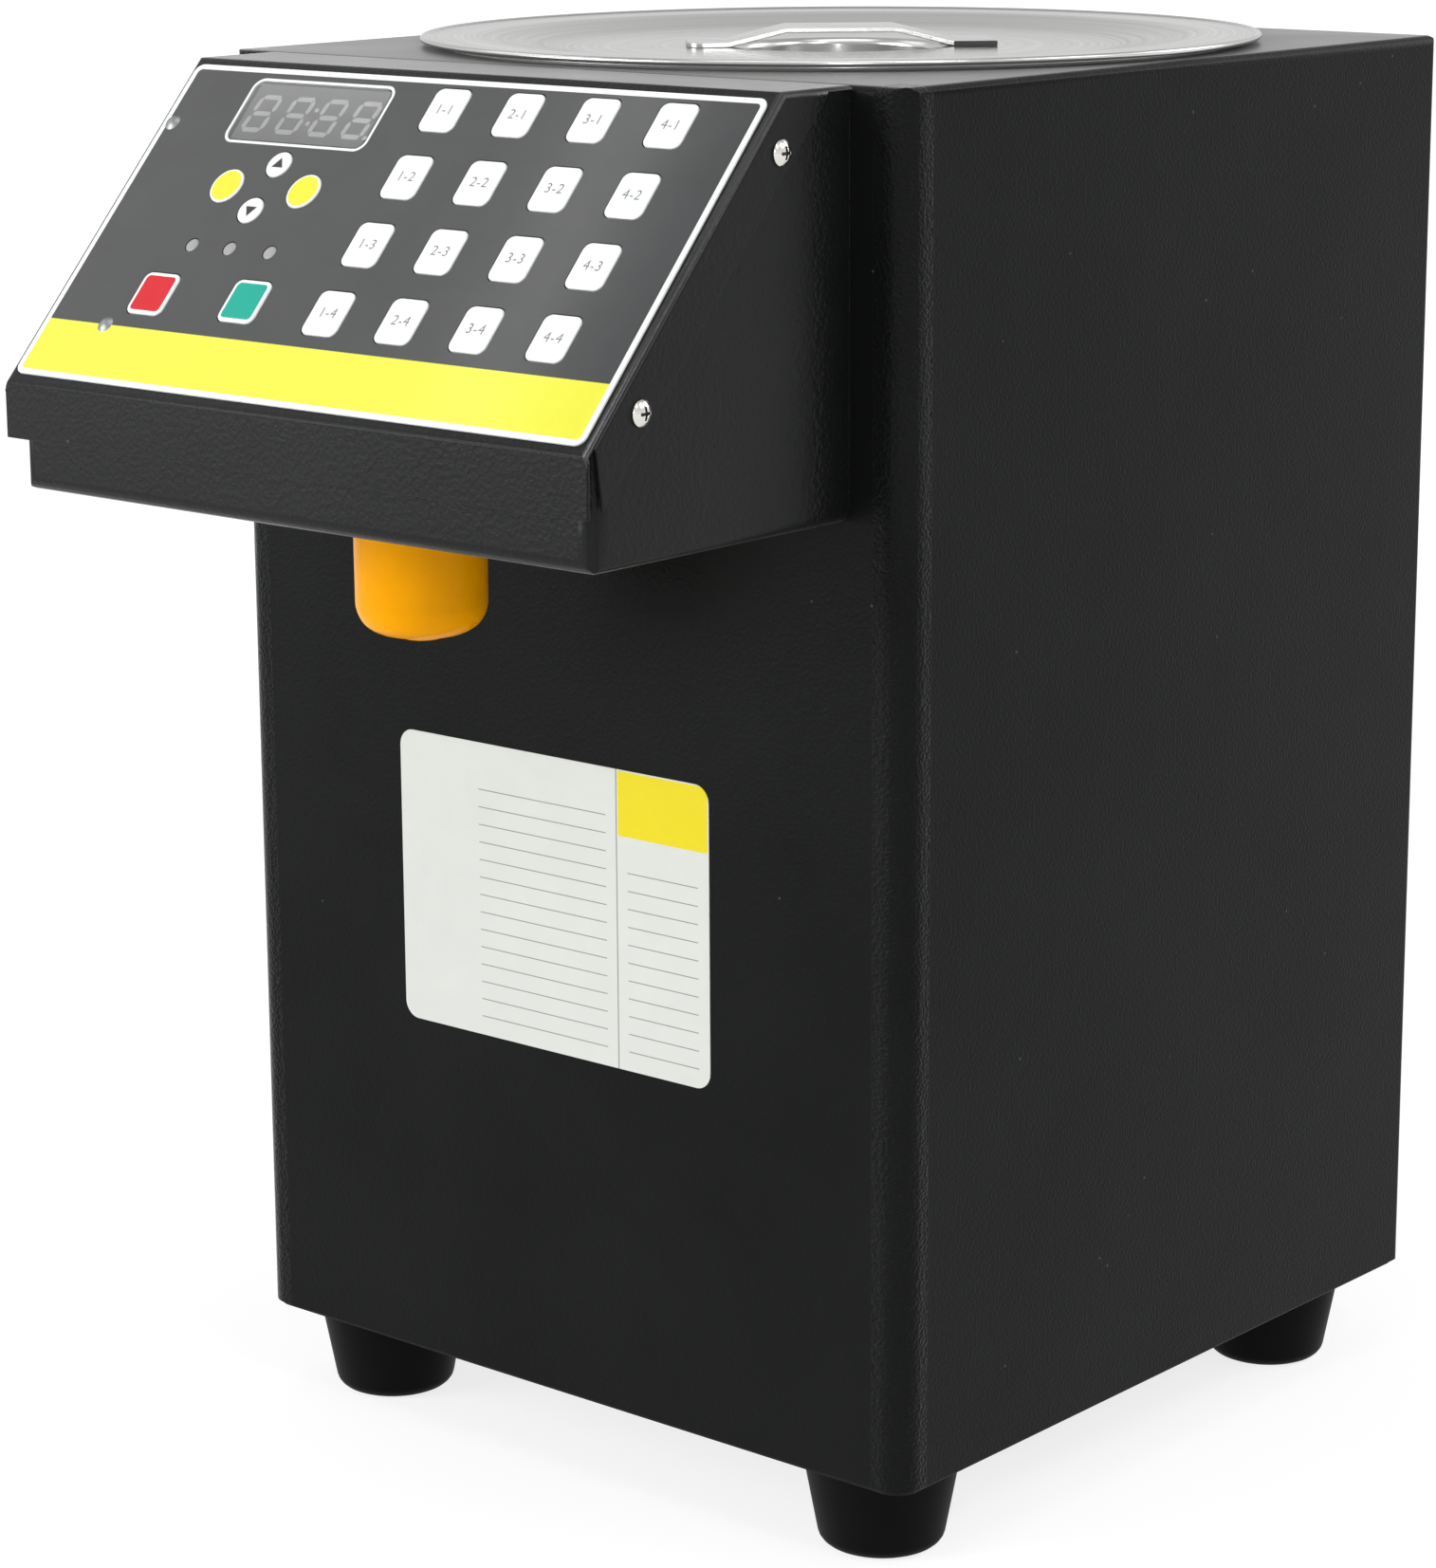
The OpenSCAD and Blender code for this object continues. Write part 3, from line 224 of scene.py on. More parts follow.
def powderCoat(name, colour, roughness, scale, depth, specular, sheen=0.1, bend=None, paintedTopReflection=0.0):
    made, tree, shader = newMaterial(
        name, {"Specular IOR Level": specular, "Sheen Weight": sheen, "Sheen Roughness": 0.3})
    where = objectPoint(tree)
    grain = useGroup(tree, powderGrain, where, Scale=scale)
    marks = useGroup(tree, handlingMarks, where)
    tone = blendColour(tree, span(tree, grain["Mottle"], 0.3, 0.7), colour, shade(colour, 1.35, 0.0006))
    tone = blendColour(tree, marks["Speck"], tone, grey(0.06))
    if paintedTopReflection:  # level faces painted paler: a painted reflection of the room on them
        upward = splitVector(tree, addNode(tree, "TexCoord").outputs["Normal"])[2]
        tone = blendColour(tree, span(tree, upward, 0.9, 1.0), tone, grey(paintedTopReflection))
    tree.links.new(tone, shader.inputs["Base Color"])
    rough = span(tree, marks["Smudge"], 0.0, 1.0, roughness - 0.035, roughness + 0.035)
    height = grain["Height"]
    if bend:  # on the upright bends the coat is glossier and its grain deeper
        x, y, _ = splitVector(tree, where)
        outward = maths(tree, "GREATER_THAN", maths(tree, "ABSOLUTE", x), bend["x"])
        onBend = times(tree, outward, maths(tree, bend["test"], y, bend["y"]))
        rough = times(tree, rough, span(tree, onBend, 0.0, 1.0, 1.0, bend["gloss"]))
        height = times(tree, height, span(tree, onBend, 0.0, 1.0, 1.0, bend["deeper"]))
    tree.links.new(rough, shader.inputs["Roughness"])
    bump(tree, shader, height, depth)
    return made


def moulded(name, colour, roughness, scale=2400.0, depth=0.00003, variation=0.06, sockets=None):
    made, tree, shader = newMaterial(name, sockets or {})
    where = objectPoint(tree)
    skin = useGroup(tree, mouldedSkin, where, Scale=scale)
    marks = useGroup(tree, handlingMarks, where)
    tone = blendColour(tree, span(tree, skin["Mottle"], 0.3, 0.7), colour, shade(colour, 1 - variation))
    tree.links.new(tone, shader.inputs["Base Color"])
    rough = span(tree, marks["Smudge"], 0.0, 1.0, roughness, roughness + 0.07)
    tree.links.new(rough, shader.inputs["Roughness"])
    bump(tree, shader, skin["Height"], depth)
    return made


def steel(name, colour, roughness, turned, density, centre=(0.0, 0.0, 0.0), depth=0.000015, paintedShadeRadii=None):
    made, tree, shader = newMaterial(name, {"Metallic": 1.0, "Specular Tint": grey(0.8)})
    where = objectPoint(tree, centre)
    lines = useGroup(tree, polishLines, where, Turned=turned, Density=density)
    tone = blendColour(tree, span(tree, lines["Cloud"], 0.35, 0.65), colour, shade(colour, 0.9))
    if paintedShadeRadii:  # painted shade: the drawn wall between the two radii is painted darker than the flat metal
        reach = lengthAcross(tree, where)
        rise = span(tree, reach, paintedShadeRadii[0] - 0.004, paintedShadeRadii[0] + 0.006)
        fall = span(tree, reach, paintedShadeRadii[1] - 0.006, paintedShadeRadii[1] + 0.002, 1.0, 0.0)
        tone = blendColour(tree, times(tree, rise, fall), tone, shade(colour, 0.72))
    tree.links.new(tone, shader.inputs["Base Color"])
    rough = span(tree, lines["Lines"], 0.3, 0.7, roughness - 0.04, roughness + 0.06)
    tree.links.new(rough, shader.inputs["Roughness"])
    bump(tree, shader, lines["Lines"], depth)
    return made


finish = {
    "paint": (0.0052, 0.0056, 0.0055, 1.0),
    "paintRoughness": 0.32,
    # how pale the level faces are painted: a painted reflection
    "paintedTopReflection": 0.16,
    "steel": (0.6, 0.6, 0.59, 1.0),
    # radii between which the lid's dish wall gets painted shade
    "lidPaintedShade": (0.080, 0.106),
    "white": (0.80, 0.82, 0.82, 1.0),
    "yellow": (0.80, 0.76, 0.045, 1.0),
    "red": (0.62, 0.012, 0.022, 1.0),
    "teal": (0.004, 0.37, 0.28, 1.0),
    "orange": (0.98, 0.39, 0.0, 1.0),
    # where the coat lies on an upright bend, in metres
    "casingBend": {"x": 0.114, "y": -0.0675, "test": "LESS_THAN", "gloss": 0.5, "deeper": 4.5},
    "consoleBend": {"x": 0.103, "y": -0.0935, "test": "GREATER_THAN", "gloss": 0.7, "deeper": 2.2},
}
paint, paintRoughness = finish["paint"], finish["paintRoughness"]
casingPaint = powderCoat("casingPaint", paint, paintRoughness, 1000.0, 0.00011, 0.06,
                         bend=finish["casingBend"], paintedTopReflection=finish["paintedTopReflection"])
consolePaint = powderCoat("consolePaint", paint, paintRoughness, 720.0, 0.00012, 0.14, sheen=0.14,
                          bend=finish["consoleBend"], paintedTopReflection=finish["paintedTopReflection"])
bendPaint = powderCoat("bendPaint", paint, paintRoughness, 720.0, 0.00008, 0.5, sheen=0.14)
panPaint = powderCoat("panPaint", grey(0.004), 0.5, 900.0, 0.00018, 0.12)
motorPaint = powderCoat("motorPaint", (0.012, 0.013, 0.014, 1.0), 0.42, 1500.0, 0.00008, 0.4)

tankCentre = tuple((a + b) / 2 for a, b in zip(*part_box("tank_gasket")))
lidSteel = steel("lidSteel", finish["steel"], 0.2, 1.0, 900.0, tankCentre, paintedShadeRadii=finish["lidPaintedShade"])
tankSteel = steel("tankSteel", (0.6, 0.61, 0.61, 1.0), 0.24, 1.0, 700.0, tankCentre)
strapSteel = steel("strapSteel", finish["steel"], 0.2, 0.0, 900.0, depth=0.000002)
screwSteel = steel("screwSteel", (0.74, 0.72, 0.68, 1.0), 0.16, 0.0, 2600.0)
# near-black steel painted into the screws' cross recesses as shade
recessShadeSteel = steel("recessShadeSteel", grey(0.07), 0.4, 0.0, 2600.0)
zincSteel = steel("zincSteel", (0.44, 0.45, 0.46, 1.0), 0.34, 0.0, 900.0)
studSteel = steel("studSteel", (0.30, 0.31, 0.31, 1.0), 0.4, 0.0, 2600.0)
springSteel = steel("springSteel", (0.62, 0.63, 0.64, 1.0), 0.2, 0.0, 3000.0)
aluminium = steel("aluminium", (0.66, 0.67, 0.68, 1.0), 0.32, 0.0, 1100.0)

footRubber = moulded("footRubber", grey(0.0025), 0.5, 1300.0, 0.00006, 0.2, {"Specular IOR Level": 0.06})
ringRubber = moulded("ringRubber", grey(0.008), 0.42, 2000.0)
gasketSilicone = moulded("gasketSilicone", (0.7, 0.7, 0.67, 1.0), 0.45, 1800.0)
hoseSilicone = moulded("hoseSilicone", (0.66, 0.67, 0.62, 1.0), 0.3, 1800.0,
                       sockets={"Subsurface Weight": 0.3, "Subsurface Scale": 0.004})
heaterMat = moulded("heaterMat", (0.42, 0.09, 0.02, 1.0), 0.6, 700.0, 0.0002)
keyWhite = moulded("keyWhite", finish["white"], 0.34, variation=0.03)
printWhite = moulded("printWhite", finish["white"], 0.4, variation=0.02)
printGrey = moulded("printGrey", (0.17, 0.18, 0.19, 1.0), 0.45)
printBlack = moulded("printBlack", grey(0.012), 0.4)
keyGloss = {"Specular IOR Level": 0.2}
keyYellow = moulded("keyYellow", finish["yellow"], 0.32, variation=0.05, sockets=keyGloss)
keyRed = moulded("keyRed", finish["red"], 0.3, sockets=keyGloss)
keyTeal = moulded("keyTeal", finish["teal"], 0.3, sockets=keyGloss)
boardGreen = moulded("boardGreen", (0.015, 0.14, 0.05, 1.0), 0.3, 500.0, 0.00005)
switchBlack = moulded("switchBlack", grey(0.02), 0.4)
pumpGrey = moulded("pumpGrey", (0.045, 0.047, 0.05, 1.0), 0.48, 1400.0, 0.00008)
acetal = moulded("acetal", (0.78, 0.76, 0.68, 1.0), 0.36)
inletBlack = moulded("inletBlack", grey(0.01), 0.42, 1500.0, 0.00008)
rockerBlack = moulded("rockerBlack", grey(0.012), 0.2)
lampGrey = moulded("lampGrey", (0.34, 0.34, 0.345, 1.0), 0.3)
digitBack = moulded("digitBack", (0.22, 0.225, 0.23, 1.0), 0.35)
digitPale = moulded("digitPale", (0.80, 0.81, 0.82, 1.0), 0.35)
nozzleOrange = moulded("nozzleOrange", finish["orange"], 0.24, 1500.0, 0.00004, 0.05,
                       {"Specular IOR Level": 0.05})
seatOrange = moulded("seatOrange", (0.74, 0.27, 0.004, 1.0), 0.34, 1500.0)

# the sloping panel, in millimetres: its foot in the row frame, its angle, and what the overlay covers
panel = {"foot": (0.0, -181.75, 327.0), "angle": 47.7091, "low": 2.5, "high": 109.5, "halfWidth": 104.85,
         "middle": -0.15}
slopePlace = Matrix.Translation(panel["foot"]) @ Matrix.Rotation(math.radians(panel["angle"]), 4, "X")

overlayPrint = {
    "border": 1.7, "borderCorner": 3.2, "bandTop": 21.0, "windowLine": 1.0,
    "field": (0.034, 0.035, 0.037, 1.0), "fieldDeep": (0.022, 0.023, 0.024, 1.0),
    "white": (0.82, 0.84, 0.84, 1.0), "band": (0.745, 0.735, 0.03, 1.0),
}
display = {
    "middle": (-51.0, 94.9), "window": (55.0, 22.2), "windowCorner": 3.8,
    "plate": (52.8, 20.0), "plateCorner": 2.9, "plateFoot": 0.3, "plateTop": 0.5,
    "digitMiddles": (-69.4, -56.3, -43.4, -30.7), "digitV": 94.3, "digitHeight": 12.8, "digitWidth": 8.8,
    "stroke": 1.55, "slant": 7.0, "raised": 0.18, "dot": 0.75, "dotOut": 1.1,
    "colonU": -49.6, "colonSpread": 2.3,
}


def slopePoint(tree, u, v):
    # a vector that reads (across, up the slope) from the point u, v of the panel, in metres
    foot = tuple(c / 1000 for c in panel["foot"])
    centred = addNode(tree, "VectorMath", {0: objectPoint(tree), 1: foot}, operation="SUBTRACT").outputs[0]
    turned = addNode(tree, "VectorRotate", {"Vector": centred, "Angle": -math.radians(panel["angle"])},
                     rotation_type="X_AXIS").outputs[0]
    spot = (u / 1000, v / 1000, 0.0)
    return addNode(tree, "VectorMath", {0: turned, 1: spot}, operation="SUBTRACT").outputs[0]


def printBox(tree, where, width, height, corner, line):
    # the sizes come in millimetres
    sizes = {"Half X": width / 2000, "Half Y": height / 2000, "Corner": corner / 1000, "Line": line / 1000}
    return useGroup(tree, printedBox, where, **sizes)


def makeOverlayFilm():
    s = overlayPrint
    made, tree, shader = newMaterial(
        "overlayFilm", {"Specular IOR Level": 0.2, "Coat Weight": 0.45, "Coat Roughness": 0.1})
    middle = (panel["low"] + panel["high"]) / 2
    where = slopePoint(tree, panel["middle"], middle)
    edge = printBox(tree, where, 2 * panel["halfWidth"], panel["high"] - panel["low"], s["borderCorner"],
                    s["border"])
    band = maths(tree, "LESS_THAN", splitVector(tree, where)[1], (s["bandTop"] - middle) / 1000)
    skin = useGroup(tree, mouldedSkin, objectPoint(tree), Scale=1600.0)
    field = blendColour(tree, span(tree, skin["Mottle"], 0.1, 0.9), s["fieldDeep"], s["field"])
    colour = blendColour(tree, band, field, s["band"])
    window = printBox(tree, slopePoint(tree, *display["middle"]), *display["window"], display["windowCorner"],
                      s["windowLine"])
    core = maths(tree, "SUBTRACT", edge["Inside"], edge["Outline"])
    lines = maths(tree, "MAXIMUM", maths(tree, "SUBTRACT", 1.0, core), window["Outline"])
    tree.links.new(blendColour(tree, lines, colour, s["white"]), shader.inputs["Base Color"])
    marks = useGroup(tree, handlingMarks, objectPoint(tree))
    tree.links.new(span(tree, marks["Smudge"], 0.0, 1.0, 0.29, 0.32), shader.inputs["Roughness"])
    bump(tree, shader, skin["Height"], 0.000015)
    return made


def makeSmokedWindow():
    made, tree, shader = newMaterial("smokedWindow", {"Coat Weight": 0.4, "Coat Roughness": 0.06, "IOR": 1.5})
    up = splitVector(tree, slopePoint(tree, *display["middle"]))[1]
    tone = blendColour(tree, span(tree, up, -0.01, 0.01), grey(0.18), grey(0.34))  # paler towards its top
    tree.links.new(tone, shader.inputs["Base Color"])
    skin = useGroup(tree, mouldedSkin, objectPoint(tree), Scale=1600.0)
    tree.links.new(span(tree, skin["Mottle"], 0.3, 0.7, 0.16, 0.24), shader.inputs["Roughness"])
    tree.links.new(span(tree, skin["Mottle"], 0.3, 0.7, 0.27, 0.32), shader.inputs["Alpha"])
    bump(tree, shader, skin["Height"], 0.00001)
    return made


overlayFilm = makeOverlayFilm()
smokedWindow = makeSmokedWindow()
print("materials:", len(bpy.data.materials))


# modelling helpers; all shapes are made in millimetres
def finishPiece(name, bm, materials, body, stands=(), smooth=35.0):
    bmesh.ops.scale(bm, vec=(0.001, 0.001, 0.001), verts=bm.verts)
    bm.normal_update()
    mesh = bpy.data.meshes.new(name)
    bm.to_mesh(mesh)
    bm.free()
    mesh.shade_smooth()
    mesh.set_sharp_from_angle(angle=math.radians(smooth))
    for material in materials:
        mesh.materials.append(material)
    piece = bpy.data.objects.new(name, mesh)
    scene.collection.objects.link(piece)
    flatFaces = piece.modifiers.new("flatFaces", "WEIGHTED_NORMAL")  # keeps broad faces flat
    flatFaces.keep_sharp = True
    flatFaces.weight = 90
    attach(piece, body)
    if stands:
        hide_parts(*stands)


def copyNode(node):
    # the node's own faces in millimetres, merged, with flat areas joined
    bm = bmesh.new()
    bm.from_mesh(nodes[node].data)
    bmesh.ops.scale(bm, vec=(1000, 1000, 1000), verts=bm.verts)
    bmesh.ops.remove_doubles(bm, verts=bm.verts, dist=0.002)
    bmesh.ops.dissolve_limit(bm, angle_limit=math.radians(0.6), use_dissolve_boundaries=False,
                             verts=bm.verts, edges=bm.edges)
    return bm


def addShape(bm, part):
    # joins the bmesh part to bm and frees it
    mesh = bpy.data.meshes.new("part")
    part.to_mesh(mesh)
    part.free()
    bm.from_mesh(mesh)
    bpy.data.meshes.remove(mesh)


def bevelParts(bm, parts, width, segments, affect="EDGES"):
    return bmesh.ops.bevel(bm, geom=parts, offset=width, offset_type="OFFSET", segments=segments, profile=0.5,
                           affect=affect, clamp_overlap=False, material=-1)


def softenEdges(bm, width, segments=2, angle=35.0):
    sharp = [e for e in bm.edges if len(e.link_faces) == 2 and e.calc_face_angle(0.0) > math.radians(angle)]
    low = [min(v.co[i] for v in bm.verts) for i in range(3)]
    high = [max(v.co[i] for v in bm.verts) for i in range(3)]
    bevelParts(bm, sharp, width, segments)
    for vert in bm.verts:  # a narrow corner may overshoot, so all stays in the piece's own box
        vert.co = [min(max(vert.co[i], low[i]), high[i]) for i in range(3)]


def spunShape(profile, centre, steps=96):
    # profile: (radius, height, rounding) round the upright axis; the rounding is cut back on both sides
    bm = bmesh.new()
    points = [bm.verts.new((r, 0.0, z)) for r, z, _ in profile]
    for first, second in zip(points, points[1:]):
        bm.edges.new((first, second))
    for vert, (_, _, rounding) in zip(points, profile):
        if rounding:
            bevelParts(bm, [vert], rounding, 5, "VERTICES")
    bmesh.ops.spin(bm, geom=bm.verts[:] + bm.edges[:], cent=(0, 0, 0), axis=(0, 0, 1), dvec=(0, 0, 0),
                   angle=math.tau, steps=steps, use_merge=True, use_duplicate=False)
    bmesh.ops.remove_doubles(bm, verts=bm.verts, dist=0.001)
    bmesh.ops.recalc_face_normals(bm, faces=bm.faces)
    bmesh.ops.translate(bm, vec=centre, verts=bm.verts)
    return bm


def raiseFaces(bm, height):
    made = bmesh.ops.extrude_face_region(bm, geom=bm.faces[:])["geom"]
    raised = [g for g in made if isinstance(g, bmesh.types.BMVert)]
    bmesh.ops.translate(bm, vec=(0, 0, height), verts=raised)
    bmesh.ops.recalc_face_normals(bm, faces=bm.faces)


def raisePlate(bm, low, high):
    # returns the bmesh and its top face
    bmesh.ops.translate(bm, vec=(0, 0, low), verts=bm.verts)
    raiseFaces(bm, high - low)
    bm.faces.ensure_lookup_table()
    return bm, max(bm.faces, key=lambda f: f.calc_center_median().z)


def roundedPlate(width, height, corner, low, high, segments=6):
    bm = bmesh.new()
    bmesh.ops.create_grid(bm, x_segments=1, y_segments=1, size=0.5)
    bmesh.ops.scale(bm, vec=(width, height, 1), verts=bm.verts)
    bevelParts(bm, bm.verts[:], corner, segments, "VERTICES")
    return raisePlate(bm, low, high)


def roundPlate(diameter, low, high):
    bm = bmesh.new()
    bmesh.ops.create_circle(bm, cap_ends=True, segments=56, radius=diameter / 2)
    return raisePlate(bm, low, high)


def placeOnSlope(bm, u=0.0, v=0.0):
    bmesh.ops.transform(bm, matrix=slopePlace @ Matrix.Translation((u, v, 0)), verts=bm.verts)


def paintNodes(material, *names):
    for name in names:
        nodes[name].data.materials.clear()
        nodes[name].data.materials.append(material)


# casing, rear cover and base pan
casingShape = {"edge": 0.25, "coverEdge": 0.3}


def buildCasing():
    for node, name, coat, slotName, edge in (
            ("body_shell", "casingSkin", casingPaint, "casing_black", casingShape["edge"]),
            ("rear_cover", "rearCoverPlate", casingPaint, "casing_black", casingShape["coverEdge"]),
            ("base_pan", "basePan", panPaint, "pan_black", casingShape["edge"])):
        bm = copyNode(node)
        softenEdges(bm, edge)
        finishPiece(name, bm, [coat], "machine", [node])
    print("casing, rear cover and base pan built")


buildCasing()

# console: bent cover, tray and screws
consoleShape = {
    "coverEdge": 0.3, "trayEdge": 0.35, "screwEdge": 0.1,
    "flangeCorner": (-169.37, 319.8), "flangeShift": (-6.63, -7.29),  # y and z
    "bendStart": 105.0, "bendTurn": (0.12, 0.97),  # where the side bends start, and how far they turn outward
    "recessDeep": 1.6, "recessFloor": 0.7, "recessReach": 1.55, "tip": 0.06,
}


def turnFlangeEnds(bm):
    # the flanges' lower ends stand upright beside the tray's corners
    corner, shift = consoleShape["flangeCorner"], consoleShape["flangeShift"]
    for vert in bm.verts:
        if math.hypot(vert.co.y - corner[0], vert.co.z - corner[1]) < 0.4:
            vert.co += Vector((0.0, *shift))


def markSideBends(bm):
    # the two side bends of the cover take the second material
    low, high = consoleShape["bendTurn"]
    bm.normal_update()
    for face in bm.faces:
        x, normal = face.calc_center_median().x, face.normal
        if abs(x) > consoleShape["bendStart"] and low < normal.x * x / abs(x) < high and normal.z > 0.05:
            face.material_index = 1


def paintRecessShade(bm):
    # painted shade: the walls and floors of the cross recesses take the second, dark material; the screws lie
    # along X
    s = consoleShape
    outer = max(abs(v.co.x) for v in bm.verts)
    heads = [f for f in bm.faces if abs(f.calc_center_median().x) > outer - s["recessDeep"]]
    tips = [v.co.copy() for v in bm.verts if abs(v.co.x) > outer - s["tip"]]
    for face in heads:
        centre = face.calc_center_median()
        inside = abs(face.normal.x) < 0.35 or abs(centre.x) < outer - s["recessFloor"]
        away = min(math.hypot(centre.y - t.y, centre.z - t.z) for t in tips if t.x * centre.x > 0)
        if inside and away < s["recessReach"]:
            face.material_index = 1


def buildConsole():
    s = consoleShape
    bm = copyNode("console_cover")
    turnFlangeEnds(bm)
    softenEdges(bm, s["coverEdge"], angle=50.0)
    markSideBends(bm)
    finishPiece("consoleCover", bm, [consolePaint, bendPaint], "machine", ["console_cover"])
    bm = copyNode("console_tray")
    softenEdges(bm, s["trayEdge"], angle=50.0)
    finishPiece("consoleTray", bm, [consolePaint], "machine", ["console_tray"])
    for node, name in (("console_screws", "consoleScrews"), ("rear_cover_screws", "rearCoverScrews"),
                       ("foot_screws", "footScrews")):
        bm = copyNode(node)
        softenEdges(bm, s["screwEdge"], angle=45.0)
        if node == "console_screws":
            paintRecessShade(bm)
        finishPiece(name, bm, [screwSteel, recessShadeSteel], "machine", [node], smooth=50.0)
    print("console built")


buildConsole()

# keys; a spot is across and up the panel
keys = {
    "proud": 0.8, "foot": -1.2, "edge": 0.45, "firstU": -2.2, "firstV": 99.2, "pitchU": 26.6, "pitchV": 22.35,
    "size": (12.8, 14.3), "corner": 2.5, "numberSize": 4.4, "numberThin": -0.03, "numberSpace": 1.12,
    "numberThick": 0.02,
    "arrows": (("key_up", "arrowKeyUp", (-51.1, 77.6), 0.0),
               ("key_down", "arrowKeyDown", (-51.8, 62.0), 180.0)),
    "arrowWide": 8.5, "arrowMark": 2.3, "markProud": 0.02,
    "rounds": (("key_left_round", "roundKeyLeft", (-66.0, 69.3)),
               ("key_right_round", "roundKeyRight", (-36.3, 69.6))),
    "roundWide": 11.3, "roundRing": 0.3,
    "squares": (("key_red", "redKey", (-69.6, 32.3), keyRed, "key_red"),
                ("key_green", "tealKey", (-34.4, 33.0), keyTeal, "key_teal")),
    "squareWide": 13.8, "squareRing": 0.75,
}


def lettering(bm, words, index):
    # words as a thin print on top of a key, with the material index
    curve = bpy.data.curves.new("print", "FONT")
    curve.body, curve.size = words, keys["numberSize"]
    curve.extrude, curve.offset = keys["numberThick"], keys["numberThin"]
    curve.align_x, curve.align_y, curve.space_character = "CENTER", "CENTER", keys["numberSpace"]
    printed = bpy.data.objects.new("print", curve)
    mesh = bpy.data.meshes.new_from_object(printed)
    mesh.transform(Matrix.Translation((0, 0, keys["proud"])))
    old = set(bm.faces)
    bm.from_mesh(mesh)
    for face in bm.faces:
        if face not in old:
            face.material_index = index
    bpy.data.objects.remove(printed)
    bpy.data.meshes.remove(mesh)
    bpy.data.curves.remove(curve)


def finishKey(bm, top, name, node, spot, materials, ring=0.0, words=None):
    # soft upper edge, a printed ring where one is asked for, and the key's own mark
    bevelParts(bm, list(top.edges), keys["edge"], 3)
    bm.faces.ensure_lookup_table()
    top = max(bm.faces, key=lambda f: (round(f.calc_center_median().z, 4), f.calc_area()))
    if ring:
        for face in bm.faces:
            face.material_index = 1
        bmesh.ops.inset_region(bm, faces=[top], thickness=ring, depth=0.0, use_even_offset=True)
        top.material_index = 0
    if words:
        lettering(bm, words, len(materials) - 1)
    placeOnSlope(bm, *spot)
    finishPiece(name, bm, materials, node, [node])


def buildArrowKey(node, name, spot, turn):
    bm, top = roundPlate(keys["arrowWide"], keys["foot"], keys["proud"])
    bevelParts(bm, list(top.edges), keys["edge"], 3)
    arrow = bmesh.new()
    bmesh.ops.create_circle(arrow, cap_ends=True, segments=3, radius=keys["arrowMark"])
    turned = Matrix.Rotation(math.radians(turn), 3, "Z")
    bmesh.ops.rotate(arrow, cent=(0, 0, 0), matrix=turned, verts=arrow.verts)
    bmesh.ops.scale(arrow, vec=(1.05, 0.95, 1), verts=arrow.verts)
    bmesh.ops.translate(arrow, vec=(0, 0, keys["proud"] + keys["markProud"]), verts=arrow.verts)
    arrow.normal_update()
    for face in arrow.faces:
        face.material_index = 1
        if face.normal.z < 0:
            face.normal_flip()
    addShape(bm, arrow)
    placeOnSlope(bm, *spot)
    finishPiece(name, bm, [keyWhite, printBlack], node, [node])


def buildKeys():
    for column in range(1, 5):
        u = keys["firstU"] + (column - 1) * keys["pitchU"]
        for row in range(1, 5):
            v = keys["firstV"] - (row - 1) * keys["pitchV"]
            bm, top = roundedPlate(*keys["size"], keys["corner"], keys["foot"], keys["proud"])
            finishKey(bm, top, f"numberKey_{column}_{row}", f"key_{column}_{row}", (u, v),
                      [keyWhite, printGrey], words=f"{column}-{row}")
    for arrowKey in keys["arrows"]:
        buildArrowKey(*arrowKey)
    for node, name, spot in keys["rounds"]:
        bm, top = roundPlate(keys["roundWide"], keys["foot"], keys["proud"])
        finishKey(bm, top, name, node, spot, [keyYellow, printWhite], ring=keys["roundRing"])
    for node, name, spot, material, slotName in keys["squares"]:
        wide = keys["squareWide"]
        bm, top = roundedPlate(wide, wide, keys["corner"], keys["foot"], keys["proud"])
        finishKey(bm, top, name, node, spot, [material, printWhite], ring=keys["squareRing"])
    print("keys built")


def addBar(bm, across, up, length, stroke, upright):
    # one bar of a digit with pointed ends, flat in the XY plane
    bar = bmesh.ops.create_grid(bm, x_segments=1, y_segments=1, size=0.5)["verts"]
    bmesh.ops.scale(bm, vec=(length, stroke, 1), verts=bar)
    pointed = bevelParts(bm, bar, stroke * 0.48, 1, "VERTICES")["verts"]
    if upright:
        bmesh.ops.rotate(bm, cent=(0, 0, 0), matrix=Matrix.Rotation(math.radians(90), 3, "Z"), verts=pointed)
    bmesh.ops.translate(bm, vec=(across, up, 0), verts=pointed)


def addDot(bm, across, up):
    bmesh.ops.create_circle(bm, cap_ends=True, segments=16, radius=display["dot"],
                            matrix=Matrix.Translation((across, up, 0)))


